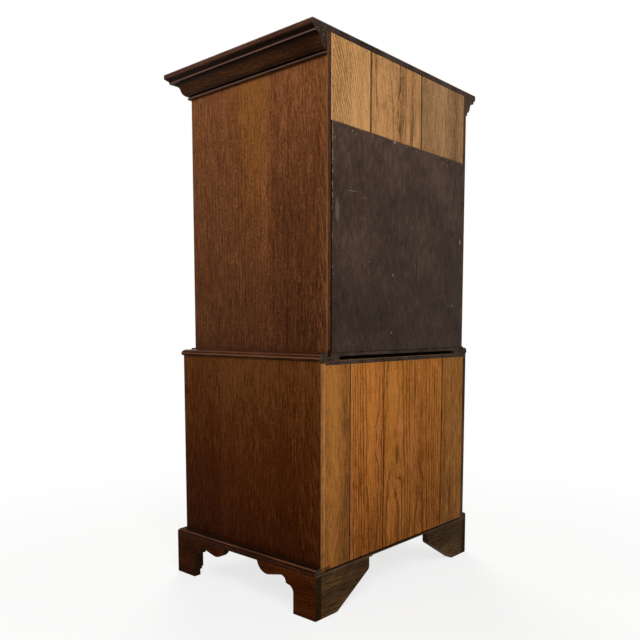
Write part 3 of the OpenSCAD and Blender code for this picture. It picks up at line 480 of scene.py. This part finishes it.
def plank(name, outline, rear, thickness, material):
    """A board with its shown face at y = rear and eased edges, from its outline in x and z, which goes up the
    right-hand edge and down the left-hand one."""
    count = len(outline)
    mesh = bpy.data.meshes.new(name)
    mesh.from_pydata(
        [(x, y, z) for y in (rear, rear - thickness) for x, z in outline], [],
        [range(count)[::-1], range(count, 2 * count)] + [(i, (i + 1) % count, count + (i + 1) % count, count + i)
                                                         for i in range(count)])
    mesh.materials.append(material)
    made = put_object(name, mesh)
    eased = made.modifiers.new("eased edges", "BEVEL")
    eased.width = BOARD_BEVEL
    eased.segments = 2
    eased.limit_method = "ANGLE"
    return made


EDGE_SWAY = 0.35 * mm
EDGE_STEPS = 9
JOINT_GAP = 2.4 * mm


def sawn_edge(x, bottom, top, chance):
    """Points up a board's long edge, which a hand plane left slightly out of straight."""
    return [(x + chance.uniform(-EDGE_SWAY, EDGE_SWAY) * (0 < i < EDGE_STEPS),
             bottom + (top - bottom) * i / EDGE_STEPS) for i in range(EDGE_STEPS + 1)]


def planks_across(low, high, joints, woods, chance, named, first_seed, dirty, split=(), **look):
    """Upright planks side by side, from a back's lowest and highest corners and the joints between them. woods
    has what is each plank's own, dirty the joints with dirt along them, and split the points of a split."""
    boards = []
    sides = (low.x - JOINT_GAP / 2, *joints, high.x + JOINT_GAP / 2)
    for number, (left, right, own) in enumerate(zip(sides, sides[1:], woods), 1):
        rising = sawn_edge(right - JOINT_GAP / 2 - EDGE_SWAY, low.z, high.z, chance)
        falling = sawn_edge(left + JOINT_GAP / 2 + EDGE_SWAY, low.z, high.z, chance)[::-1]
        notch = [point for point in split if left < point[0] < right]
        wood = oak(f"sawn oak, {named} plank {number}", seed=first_seed + number,
                   edges=[x for x in (left, right) if x in dirty], **look, **own)
        boards.append(plank(f"{named}_plank_{number}", rising + notch + falling, high.y, high.y - low.y, wood))
    return boards


LOWER_JOINTS = (-0.240, -0.070, 0.099, 0.265)
LOWER_WOOD = (
    dict(tones=("#a46f3a", "#845528", "#5c3716"), rings=(0.1, 0.3, 0.02, 0.017, 0.3), tint=0.2,
         streaks=((-0.299, 0.014, 0.17, 0.28, 0.5), (-0.262, 0.02, 0.1, 0.8, 0.1))),
    dict(tones=("#b47338", "#955a27", "#5a300e"), rings=(-0.105, 0.06, 0.015, 0.0115, 1.0), tint=0.5, patches=0.45,
         streaks=((-0.12, 0.02, 0.1, 0.8, 0.15),)),
    dict(tones=("#b47239", "#935928", "#58310e"), rings=(0.05, 0.055, 0.03, 0.012, 1.0), tint=0.5,
         knots=((0.026, 0.435, 0.012), (0.030, 0.41, 0.006)), streaks=((0.02, 0.05, 0.50, 0.70, -0.25),)),
    dict(tones=("#b97539", "#985a27", "#5c300e"), rings=(0.155, 0.05, -0.02, 0.0105, 1.0), tint=0.5,
         knots=((0.135, 0.50, 0.007),), streaks=((0.16, 0.03, 0.3, 0.7, -0.2),)),
    dict(tones=("#a36c34", "#8b5728", "#5a3819"), rings=(0.12, 0.10, -0.04, 0.0085, 0.45), tint=0.2,
         knots=((0.294, 0.601, 0.006),), streaks=((0.29, 0.034, 0.1, 0.8, 0.28), (0.345, 0.035, 0.1, 0.8, -0.2))),
)
LOWER_LINES = ((LOWER_JOINTS[3], 3.2 * mm, 0.6), (LOWER_JOINTS[3] - 7 * mm, 2.5 * mm, -0.35),
               (LOWER_JOINTS[1] + 5 * mm, 2.5 * mm, -0.3), (strip_middle, 30 * mm, 0.6, 0.0, 0.149))
low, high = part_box("lower_backboards")
lower_planks = planks_across(
    low, high, LOWER_JOINTS, LOWER_WOOD, random.Random(7), "lower", first_seed=30, dirty=LOWER_JOINTS[0:3:2],
    pore="#4d2a0c", fade=(*LOWER_RISE, 0.16), lines=LOWER_LINES, worn="#b07a55", roughness=0.62, gloss=0.03)
for board in lower_planks:
    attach(board, "lower_case")
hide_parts("lower_backboards")

# Waist moulding
# Three lengths of oak, moulded on the outer edge and mitred at the front, that the upper case stands in.
# Their flat inner parts are bare, and the shaped edge is stained dark and waxed. End grain shows at the rear.
low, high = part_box("waist_moulding")
# Bands along the moulding: a painted highlight on the nose and a thinner one above it, and painted shade under the
# nose and in the quirk between.
waist_lines = ((low.z + 8.5 * mm, 2.5 * mm, -0.5), (low.z + 1.5 * mm, 2.5 * mm, 0.6),
               (low.z + 13 * mm, 1.5 * mm, 0.6), (low.z + 17 * mm, 1.5 * mm, -0.5))
waist_top = high.z
# Mouldings are darker in their hollows, dirt and painted shade, and pale on their arrises, wear and painted
# highlights.
moulding_look = dict(tones=("#6a4023", "#3f2010", "#190903"), pore="#140804", fibre=1.2, bands=0.7, patches=1.0,
                     pores=0.3, wear_and_highlight=0.35, hollow_dirt_and_shade=0.8, roughness=0.45, gloss=0.05)
waist_look = dict(moulding_look, worn="#7e5338", lines=waist_lines, gloss=0.03)
waist_along = oak("dark waxed oak, side waist mouldings", axes="ZXY", seed=31, **waist_look)
waist_across = oak("dark waxed oak, front waist moulding", axes="ZYX", seed=32, **waist_look)
end_oak = oak("dirty oak end grain", ("#493c31", "#251c15", "#0d0907"), "#0b0806", axes="XZY", seed=33, fibre=1.0,
              specks=3.5, patches=1.2, dust=0.1, roughness=0.7, gloss=0.04)


def by_mitre(front, half_width):
    """Picks 0 for a face on a side length, 1 for one on the front length and 2 for the rear end grain."""
    return lambda face: 2 if face.normal.y > 0.9 and face.center.y > BACK - mm else int(
        front - face.center.y > abs(face.center.x) - half_width)


def faces_inwards(face):
    """Whether a face looks to the rear or towards the middle of the case."""
    return max(face.normal.y, -face.normal.x * math.copysign(1, face.center.x)) > 0.5


def waist_faces(face):
    """As by_mitre, with 2 for the seat and for the inward faces too."""
    seat = face.normal.z > 0.9 and face.center.z < waist_top - 8 * mm
    return 2 if seat or faces_inwards(face) else by_mitre(LOWER_FRONT, LOWER_HALF)(face)


finish_node("waist_moulding", waist_along, waist_across, end_oak, choose=waist_faces)

# Base frame and base moulding
# A flat oak frame between the feet and the case, and an ovolo moulding planted on it.
low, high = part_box("base_moulding")
# Bands along the moulding: painted shade at its top, where it meets the case, and low down, and a painted highlight on
# the ovolo between.
base_lines = ((high.z - 2 * mm, 2.5 * mm, 0.8), (low.z + 10 * mm, 1.2 * mm, -0.6), (low.z + 5 * mm, 2 * mm, 0.5))
base_look = dict(moulding_look, tones=("#4e2710", "#301406", "#140602"), worn="#86624a", wear_and_highlight=0.2, lines=base_lines,
                 gloss=0.03)
base_along = oak("dark waxed oak, side base", axes="ZXY", seed=34, **base_look)
base_across = oak("dark waxed oak, front base", axes="ZYX", seed=35, **base_look)
finish_node("base_moulding", base_along, base_across, end_oak, choose=by_mitre(LOWER_FRONT, LOWER_HALF))
low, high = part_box("base_frame")
# The strip's edge has a dark line at its top, painted shadow under the case, and a pale line below it, a painted
# highlight on the arris.
strip_oak = oak("oak strip edges, dirty, with painted shade and highlight", ("#54432f", "#33271b", "#191109"), "#120c09", axes="ZYX", seed=36,
                patches=1.2, worn="#72543f", roughness=0.7, gloss=0.04,
                lines=((high.z - 1.5 * mm, 1.5 * mm, 0.8), (high.z - 6 * mm, 2 * mm, -0.35)))
finish_node("base_frame", base_along, base_across, strip_oak, choose=by_mitre(LOWER_FRONT, LOWER_HALF))

# Bracket feet
# Shaped brackets sawn from thick oak and stained like the mouldings; the plain rear ones were left dull.
foot_look = dict(base_look, tones=("#5a2b0c", "#3a1703", "#180700"), lines=(), worn="#6b4430", gloss=0.014)
foot_along = oak("dark waxed oak, side brackets", axes="ZXY", seed=38, streaks=((0.06, 0.25, -0.42, -0.14, 0.3),),
                 **foot_look)
foot_across = oak("dark waxed oak, front brackets", axes="ZYX", seed=39, **foot_look)
rear_bracket_oak = oak("dull oak, rear brackets", ("#573f22", "#3b2814", "#1f1309"), "#150d07", axes="ZYX", seed=41,
                       bands=0.9, patches=0.8, rings=(0.15, 0.06, 0.05, 0.012, 0.35), dust=0.04, roughness=0.6,
                       gloss=0.03)
foot_end_oak = oak("dark end grain, side brackets", ("#33260f", "#1e1407", "#0c0703"), "#0a0602", axes="XZY", seed=40,
                   specks=2.0, roughness=0.7, gloss=0.03)
BRACKET_T = 0.025
bracket_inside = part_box("rear_feet")[1].x - BRACKET_T


def rear_foot_faces(face):
    """Picks 0 for a side bracket, 1 for the plain rear one and 2 for end grain."""
    return 1 if abs(face.center.x) < bracket_inside else 2 if face.normal.y > 0.9 else 0


def front_foot_faces(face):
    """As by_mitre, with 2 for all inward faces."""
    return 2 if faces_inwards(face) else by_mitre(LOWER_FRONT, LOWER_HALF)(face)


finish_node("rear_feet", foot_along, rear_bracket_oak, foot_end_oak, choose=rear_foot_faces)
finish_node("front_feet", foot_along, foot_across, foot_end_oak, choose=front_foot_faces)
finish_node("foot_glue_blocks", rear_bracket_oak)

# Upper case: side boards
# The same oak as below, in a redder tone, painted lighter towards the top as light falls from above, with some
# fading. The middle board is the warmest, and slanting flecks show by the rear edge. A pale line along the rear
# arris is a painted highlight.
UPPER_RISE = (0.75, 1.6)
upper_side_oak = oak(
    "waxed brown oak, upper sides", ("#8a5632", "#5f371d", "#341a0b"), "#251008", axes="YXZ", seed=51,
    seams=(-0.06, 0.105), fibre=1.15, specks=1.0, bands=0.12, patches=0.35, boards=0.05, pores=0.4,
    rings=SIDE_RINGS, knots=((-0.082, 0.914, 0.007), (0.120, 1.505, 0.006)),
    streaks=((0.112, 0.028, 1.22, 1.62, 0.1), (0.03, 0.09, 1.2, 1.7, -0.15), (0.19, 0.15, 0.8, 1.4, 0.17),
             (0.31, 0.08, 0.8, 1.5, 0.14), (0.07, 0.04, 1.0, 1.3, -0.15)),
    fade=(*UPPER_RISE, 0.30), golden=(0.022, 0.1, 0.95, 1.5, 0.6), flecks=(0.27, 0.3, 14, 0.4), worn="#8f5c30",
    lines=((BACK - 2 * mm, 2 * mm, -0.4),), roughness=0.45, gloss=0.04)
upper_low, upper_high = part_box("upper_side_right")
upper_half = upper_high.x
panel_low, panel_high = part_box("back_cover_panel")
panel_half, panel_top = panel_high.x, panel_high.z
# A pale line along the outer arris is a painted highlight, and a dark line beside the cover panel is painted shade in
# the gap between them. It is painted lighter towards the top.
upper_wiped_oak = oak(
    "stained oak, upper right-hand rear edge", ("#5e3f2a", "#432817", "#1c0f09"), "#1c0f08", seed=52,
    streaks=((upper_half - 0.01, 0.03, 0.72, 0.77, 1.0),), fade=(*UPPER_RISE, 0.15), worn="#75594c", roughness=0.6,
    lines=((upper_half - 0.5 * mm, 1.5 * mm, -0.6), (panel_half + 1.5 * mm, 2.5 * mm, 0.9, 0.0, panel_top),
           (upper_half - 8 * mm, 20 * mm, 0.7, 0.0, 0.772)), gloss=0.04)
for node, rear in (("upper_side_left", stained_edge_oak), ("upper_side_right", upper_wiped_oak)):
    finish_node(node, upper_side_oak, rear, lining_oak_upright, choose=side_faces(node))

# Upper case: bottom board and top board
# Oak boards across the case. The top board's shaped edge is the cornice's fascia and has its finish.
finish_node("upper_bottom_board", lining_oak_across, edge_oak, front_oak, choose=shown_edges("upper_bottom_board"))
low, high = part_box("upper_top_board")
# The fascia is painted lighter along its top, a painted highlight, and darker along its lower edge, painted shade
# above the hollow.
fascia_look = dict(moulding_look, tones=("#5c3a2a", "#3c2218", "#1b0d08"), worn="#77594c",
                   lines=((high.z, 4 * mm, -0.35), (low.z, 4 * mm, 0.6)))
fascia_along = oak("dark waxed oak, fascia sides", axes="ZXY", seed=36, **fascia_look)
fascia_across = oak("dark waxed oak, fascia front", axes="ZYX", seed=37, **fascia_look)
# The rear edge has a pale line along its top, a painted highlight, and dark lines below it and along its foot, painted
# shade.
fascia_rear = oak("dirty oak, top board's rear edge", worn="#86766a", **edge_look, lines=(
    (high.z - 0.5 * mm, 1.6 * mm, -0.6), (high.z - 6 * mm, 2 * mm, 0.4), (low.z + 1 * mm, 2.5 * mm, 0.6)))
finish_node("upper_top_board", fascia_along, fascia_across, fascia_rear, choose=by_mitre(upper_low.y, upper_high.x))

# Upper case: rails, runners and stops
# As in the lower case, with an upright between the two short drawers.
DIVIDER_HALF = 0.011
short_low, short_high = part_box("drawer_top_left_front")
finish_node("upper_rails", front_oak, lining_oak_across, front_oak_upright, choose=front_edge(
    "upper_rails", lambda spot: abs(spot.x) < DIVIDER_HALF and short_low.z < spot.z < short_high.z))
finish_node("upper_runners", lining_oak)

# Upper case: backboards
# Three wide planks of paler oak. The middle one has split from the top.
UPPER_JOINTS = (-0.090, 0.175)
SPLIT_X = 0.154
SPLIT_FOOT = 1.545
SPLIT_HALF = 1.8 * mm
low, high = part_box("upper_backboards")
SPLIT = ((SPLIT_X + SPLIT_HALF, high.z), (SPLIT_X, SPLIT_FOOT), (SPLIT_X - SPLIT_HALF, high.z))
UPPER_WOOD = (
    dict(tones=("#a57d55", "#876545", "#5f4427"), rings=(-0.6, 0.2, 0.0, 0.014, 0.3), specks=1.0, patches=0.5,
         streaks=((-0.30, 0.04, 1.3, 1.64, 0.35), (-0.2, 0.06, 1.3, 1.64, -0.15))),
    dict(tones=("#bd8d5d", "#9f7349", "#5d4127"), rings=(0.12, 0.10, 0.02, 0.0095, 0.6), fibre=1.5, specks=0.9,
         pores=0.4, knots=((0.04, 1.49, 0.006),),
         streaks=((0.022, 0.03, 1.38, 1.64, 0.35), (-0.036, 0.014, 1.36, 1.62, 0.3), (0.145, 0.006, 1.5, 1.66, 0.5),
                  (0.1, 0.05, 1.3, 1.7, -0.1))),
    dict(tones=("#cfa270", "#b98a58", "#6f4b28"), rings=(0.45, -0.3, 0.3, 0.0072, 0.75), pores=0.12, fibre=0.6,
         patches=0.4, specks=0.6, worn="#d2ac8a",
         # Beside the cover panel a dark line is painted shade in the gap.
         lines=((high.x - 2 * mm, 2 * mm, -0.5, panel_top, 2.0), (panel_half + 1 * mm, 3 * mm, 0.95, 0.0, panel_top))),
)
upper_planks = planks_across(
    low, high, UPPER_JOINTS, UPPER_WOOD, random.Random(3), "upper", first_seed=45, dirty=UPPER_JOINTS, split=SPLIT,
    pore="#4f3319", dirt_reach=4.5 * mm, tint=0.12, roughness=0.62, gloss=0.04)
for board in upper_planks:
    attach(board, "upper_case")
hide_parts("upper_backboards")

# Cover panel
# A thin board, stained dark, nailed over all but the top of the upper back. Its upper edge is chipped, and
# rubs and knocks have brought up pale wood. Its face lies in by a nail head's height, so that the heads stay
# within the case's depth.
NAIL_PROUD = 0.5 * mm
panel_face = panel_high.y - NAIL_PROUD
NICK_X, NICK_HALF, NICK_DEPTH = 0.060, 0.007, 0.005
CHIPS = (0.0, 0.0, 0.0, 0.6 * mm, 1.2 * mm)
CHIP_STEPS = 60
chance = random.Random(19)
top_edge = []
for i in range(CHIP_STEPS + 1):
    x = panel_high.x + (panel_low.x - panel_high.x) * i / CHIP_STEPS
    chip = chance.choice(CHIPS) * (0 < i < CHIP_STEPS)
    if abs(x - NICK_X) < NICK_HALF:
        chip = NICK_DEPTH * (1 - abs(x - NICK_X) / NICK_HALF)
    top_edge.append((x, panel_high.z - chip))
outline = [(panel_low.x, panel_low.z), (panel_high.x, panel_low.z)] + top_edge

# The brushed stain has dried dull, in marks 14 by 30 mm and clouds 160 mm across
panel_stain, tree = new_material("dark stained panel")
place = add(tree, "ShaderNodeTexCoord")["Object"]
axes = add(tree, "ShaderNodeSeparateXYZ", {0: place})
brushed = blots(tree, place, (0.014, 0.014, 0.03), 4.0, 0.7)["Fac"]
cloudy = add(tree, "ShaderNodeTexNoise", {"Vector": place, "Scale": 1 / 0.16, "Detail": 6.0, "Roughness": 0.6})["Fac"]
tone = add(tree, "ShaderNodeMath", {0: brushed, 1: 0.45, 2: 0.025}, operation="MULTIPLY_ADD")[0]
tone = add(tree, "ShaderNodeMath", {0: cloudy, 1: 0.5, 2: tone}, operation="MULTIPLY_ADD")[0]
# The stain is painted lighter towards the top, as light falls from above.
height = add(tree, "ShaderNodeMapRange", {
    "Value": axes["Z"], "From Min": panel_low.z, "From Max": panel_high.z, "To Min": -0.05, "To Max": 0.05})[0]
tone = add(tree, "ShaderNodeMath", {0: tone, 1: height})[0]
STAIN = ((0.36, linear("#261a13")), (0.5, linear("#372921")), (0.64, linear("#49392f")))
stain = add(tree, "ShaderNodeValToRGB", {"Fac": tone}, stops=STAIN)["Color"]

# Rubbing towards the top edge and down the edge at the corner has brought up the pale wood in specks
fine = blots(tree, place, (0.006, 0.006, 0.009), 5.0)["Fac"]
from_top = add(tree, "ShaderNodeMapRange", {
    "Value": axes["Z"], "From Min": panel_high.z - 0.08, "From Max": panel_high.z, "To Max": 0.08})[0]
from_edge = add(tree, "ShaderNodeMapRange", {
    "Value": axes["X"], "From Min": panel_high.x - 0.007, "From Max": panel_high.x, "To Max": 0.3})[0]
upper_part = add(tree, "ShaderNodeMapRange", {
    "Value": axes["Z"], "From Min": panel_high.z - 0.4, "From Max": panel_high.z - 0.05, "To Min": 0.3})[0]
from_edge = add(tree, "ShaderNodeMath", {0: from_edge, 1: upper_part}, operation="MULTIPLY")[0]
pale_marks = add(tree, "ShaderNodeMath", {0: from_top, 1: from_edge}, operation="MAXIMUM")[0]
pale_marks = add(tree, "ShaderNodeMath", {0: fine, 1: pale_marks})[0]
pale_marks = add(tree, "ShaderNodeMapRange", {"Value": pale_marks, "From Min": 0.68, "From Max": 0.78, "To Max": 0.55})[0]

# Knocks and scratches: middle in x and z, half width, half height, and how much of the pale wood shows
MARKS = (
    (0.329, 1.165, 0.011, 0.038, 0.24), (0.262, 1.225, 0.026, 0.0016, 0.35), (0.205, 1.213, 0.018, 0.0014, 0.22),
    (-0.080, 1.027, 0.0012, 0.045, 0.4), (0.063, 0.998, 0.004, 0.004, 0.6), (-0.220, 1.384, 0.005, 0.003, 0.5),
    (-0.290, 0.910, 0.004, 0.005, 0.5), (0.070, 0.820, 0.004, 0.004, 0.5), (-0.336, 1.134, 0.004, 0.010, 0.8),
    (0.059, 1.398, 0.008, 0.005, 0.7),
)
for mark_x, mark_z, half_width, half_height, amount in MARKS:
    off = add(tree, "ShaderNodeVectorMath", {0: place, 1: (mark_x, 0.0, mark_z)}, operation="SUBTRACT")[0]
    off = add(tree, "ShaderNodeVectorMath", {0: off, 1: (1 / half_width, 0.0, 1 / half_height)}, operation="MULTIPLY")
    away = add(tree, "ShaderNodeVectorMath", {0: off[0]}, operation="LENGTH")["Value"]
    away = add(tree, "ShaderNodeMath", {0: fine, 1: -1.2, 2: away}, operation="MULTIPLY_ADD")[0]
    mark = add(tree, "ShaderNodeMapRange", {"Value": away, "From Min": 0.5, "From Max": -0.1, "To Max": amount})[0]
    pale_marks = add(tree, "ShaderNodeMath", {0: pale_marks, 1: mark}, operation="MAXIMUM")[0]
worn = add(tree, "ShaderNodeMix", {"Factor": pale_marks, "A": stain, "B": linear("#8f7b6c")}, data_type="RGBA")["Result"]
# The board's edges are painted near black: painted shade in the gap beside the case.
edge = add(tree, "ShaderNodeMath", {0: axes["Y"], 1: panel_face - BOARD_BEVEL}, operation="LESS_THAN")[0]
worn = add(tree, "ShaderNodeMix", {"Factor": edge, "A": worn, "B": linear("#120b08")}, data_type="RGBA")
bump = add(tree, "ShaderNodeBump", {"Height": tone, "Strength": 0.4, "Distance": 1.2 * mm})
skin = add(tree, "ShaderNodeBsdfPrincipled", {
    "Base Color": worn["Result"], "Roughness": 0.6, "Normal": bump[0], "Specular IOR Level": 0.06})
add(tree, "ShaderNodeOutputMaterial", {"Surface": skin[0]})
panel = plank("cover_panel", outline, panel_face, panel_face - panel_low.y, panel_stain)
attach(panel, "upper_case")
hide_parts("back_cover_panel")

# Cornice
# Three lengths of moulded oak under the overhanging top board, mitred at the front.
low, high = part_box("cornice")
# Bands along the profile: painted highlights on the bead and the fillet, and painted shade above the bead, under the
# fillet and in the hollow beneath the fascia.
cornice_look = dict(moulding_look, tones=("#5c381c", "#3a2110", "#180b04"), worn="#80625a", lines=(
    (low.z + 5.5 * mm, 2 * mm, -0.6), (low.z + 10.5 * mm, 2 * mm, 0.85), (low.z + 15 * mm, 4 * mm, 0.4),
    (low.z + 47 * mm, 4 * mm, 0.7), (low.z + 51.5 * mm, 2 * mm, -0.65), (low.z + 58 * mm, 4.5 * mm, 0.9)))
cornice_along = oak("dark waxed oak, side cornice", axes="ZXY", seed=53, **cornice_look)
cornice_across = oak("dark waxed oak, front cornice", axes="ZYX", seed=54, **cornice_look)
finish_node("cornice", cornice_along, cornice_across, end_oak, choose=by_mitre(upper_low.y, upper_high.x))

# Nails
# Hand-made iron nails through the backboards and the cover panel. Their low heads are hammered, no two
# quite alike, and rusted dark with pits about 1 mm wide.
NAIL_R = 2.3 * mm


def nail_heads(name, spots, material, body, seed):
    """Small hammered heads at the given places, facing +Y, each a little different."""
    tree = bpy.data.node_groups.new(name, "GeometryNodeTree")
    for label, side, sort in (("Geometry", "INPUT", "Geometry"), ("Head radius", "INPUT", "Float"),
                              ("Head height", "INPUT", "Float"), ("Geometry", "OUTPUT", "Geometry")):
        tree.interface.new_socket(label, in_out=side, socket_type="NodeSocket" + sort)
    given = add(tree, "NodeGroupInput")
    head = add(tree, "GeometryNodeMeshUVSphere", {"Segments": 10, "Rings": 6, "Radius": given["Head radius"]})
    squat = add(tree, "ShaderNodeMath", {0: given["Head height"], 1: given["Head radius"]}, operation="DIVIDE")
    squash = add(tree, "ShaderNodeCombineXYZ", {0: 1.0, 1: squat[0], 2: 0.9})
    flat = add(tree, "GeometryNodeTransform", {"Geometry": head["Mesh"], "Scale": squash[0]})
    turn = add(tree, "FunctionNodeRandomValue", {
        "Min": (-0.15, -3.1, -0.15), "Max": (0.15, 3.1, 0.15), "Seed": seed}, data_type="FLOAT_VECTOR")
    size = add(tree, "FunctionNodeRandomValue", {2: 0.75, 3: 1.1, "Seed": seed + 1}, data_type="FLOAT")
    put = add(tree, "GeometryNodeInstanceOnPoints", {
        "Points": given["Geometry"], "Instance": flat[0], "Rotation": turn["Value"], "Scale": size[1]})
    real = add(tree, "GeometryNodeRealizeInstances", {0: put[0]})
    made = add(tree, "GeometryNodeSetMaterial", {"Geometry": real[0], "Material": material})
    add(tree, "NodeGroupOutput", {0: made[0]})
    points = bpy.data.meshes.new(name + " places")
    points.from_pydata(spots, [], [])
    holder = put_object(name + " places", points)
    grow = holder.modifiers.new("heads", "NODES")
    grow.node_group = tree
    inputs = {s.name: s.identifier for s in tree.interface.items_tree if s.in_out == "INPUT"}
    grow[inputs["Head radius"]] = NAIL_R
    grow[inputs["Head height"]] = NAIL_PROUD
    ready = bpy.data.meshes.new_from_object(holder.evaluated_get(bpy.context.evaluated_depsgraph_get()))
    bpy.data.objects.remove(holder)
    made = put_object(name, ready)
    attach(made, body)
    return made


iron, tree = new_material("rusted iron")
place = add(tree, "ShaderNodeTexCoord")["Object"]
pitted = add(tree, "ShaderNodeTexNoise", {"Vector": place, "Scale": 900.0, "Detail": 3.0})
rust = add(tree, "ShaderNodeValToRGB", {"Fac": pitted["Fac"]}, stops=(
    (0.4, linear("#140d09")), (0.65, linear("#2c1b12"))))
skin = add(tree, "ShaderNodeBsdfPrincipled", {
    "Base Color": rust["Color"], "Roughness": 0.8, "Specular IOR Level": 0.1})
add(tree, "ShaderNodeOutputMaterial", {"Surface": skin[0]})

EDGE_IN = 9 * mm
low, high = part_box("upper_backboards")
spots = [(x, high.y, high.z - 6 * mm) for x in (0.335, 0.198, 0.120, -0.060, -0.105, -0.330)]
spots += [(side, high.y, z) for side in (low.x + EDGE_IN, high.x - EDGE_IN) for z in (1.575, 1.494, 1.43)]
nail_heads("upper_back_nails", spots, iron, "upper_case", 4)
low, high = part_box("lower_backboards")
spots = [(x, high.y, z) for z in (low.z + 9 * mm, high.z - 7 * mm)
         for x in (0.355, 0.285, 0.245, 0.120, 0.080, -0.050, -0.092, -0.215, -0.262, -0.355)]
spots += [(side, high.y, z) for side in (low.x + EDGE_IN, high.x - EDGE_IN) for z in (0.60, 0.44, 0.28)]
nail_heads("lower_back_nails", spots, iron, "lower_case", 6)
sunk_y = panel_face - 0.15 * mm
spots = [(x, sunk_y, z) for z in (panel_low.z + 12 * mm, panel_high.z - 14 * mm)
         for x in (0.340, 0.20, 0.02, -0.17, -0.345)]
spots += [(x, sunk_y, z) for x in (0.340, -0.345) for z in (0.93, 1.10, 1.25)]
nail_heads("panel_nails", spots, iron, "upper_case", 8)

# Drawers
# Solid oak fronts with cock beads, in the case's brown finish. The sides and backs are thin bare oak,
# dovetailed together, and the bottoms lie in grooves.
DRAWERS = sorted(node.removesuffix("_box") for node in NODES if node.startswith("drawer") and node.endswith("_box"))
FRONT_T = 0.020
BEAD_PROUD = 2.5 * mm
BOX_SIDE_T = 0.009
BOTTOM_TOP = 0.0155
bead_look = dict(front_look, tones=("#5e3620", "#402111", "#241108"))
bead_oak = oak("dark waxed oak, cock beads", axes="ZYX", seed=60, **bead_look)


def drawer_front_faces(node):
    """Picks 0 for the front board, 1 for what lies behind it and 2 for the cock beads, which stand proud of it."""
    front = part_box(node)[0].y
    return lambda face: 2 if face.center.y < front + BEAD_PROUD - 0.1 * mm else int(face.center.y > front + FRONT_T)


def drawer_box_faces(node):
    """Picks 0 for the sides, whose grain runs from front to back, and 1 for the back and the bottom."""
    low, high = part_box(node)
    middle, half_width = (low.x + high.x) / 2, (high.x - low.x) / 2
    return lambda face: int(low.x + BOX_SIDE_T < face.center.x < high.x - BOX_SIDE_T or (
        face.center.z < low.z + BOTTOM_TOP and abs(face.center.x - middle) < half_width - BOX_SIDE_T / 2))


for order, drawer in enumerate(DRAWERS):
    drawer_oak = oak(f"waxed brown oak, {drawer}", axes="ZYX", seed=61 + order, flecks=(0.0, 0.01, 8, 0.25),
                     rings=(0.4 + 0.3 * order, 0.12, 0.06, 0.016, 0.4), **front_look)
    front, box = drawer + "_front", drawer + "_box"
    finish_node(front, drawer_oak, lining_oak_across, bead_oak, choose=drawer_front_faces(front))
    finish_node(box, lining_oak, lining_oak_across, choose=drawer_box_faces(box))

# Handles
# Cast brass: turned posts through round roses, nutted inside, and swan-neck bails. The lacquer has gone,
# and the brass has toned unevenly, in blots about 8 mm wide.
brass, tree = new_material("aged cast brass")
place = add(tree, "ShaderNodeTexCoord")["Object"]
toned = add(tree, "ShaderNodeTexNoise", {"Vector": place, "Scale": 120.0, "Detail": 4.0})
tone = add(tree, "ShaderNodeValToRGB", {"Fac": toned["Fac"]}, stops=(
    (0.35, linear("#5f4a28")), (0.55, linear("#93783f")), (0.7, linear("#b89a5e"))))
dull = add(tree, "ShaderNodeMapRange", {
    "Value": toned["Fac"], "From Min": 0.3, "From Max": 0.7, "To Min": 0.42, "To Max": 0.24})
skin = add(tree, "ShaderNodeBsdfPrincipled", {"Base Color": tone["Color"], "Roughness": dull[0], "Metallic": 1.0})
add(tree, "ShaderNodeOutputMaterial", {"Surface": skin[0]})
for node in NODES:
    if node.endswith("_brasses") or "_bail" in node:
        finish_node(node, brass)

# Colour
# Standard colour, so that finishes show as written.
bpy.context.scene.view_settings.view_transform = "Standard"
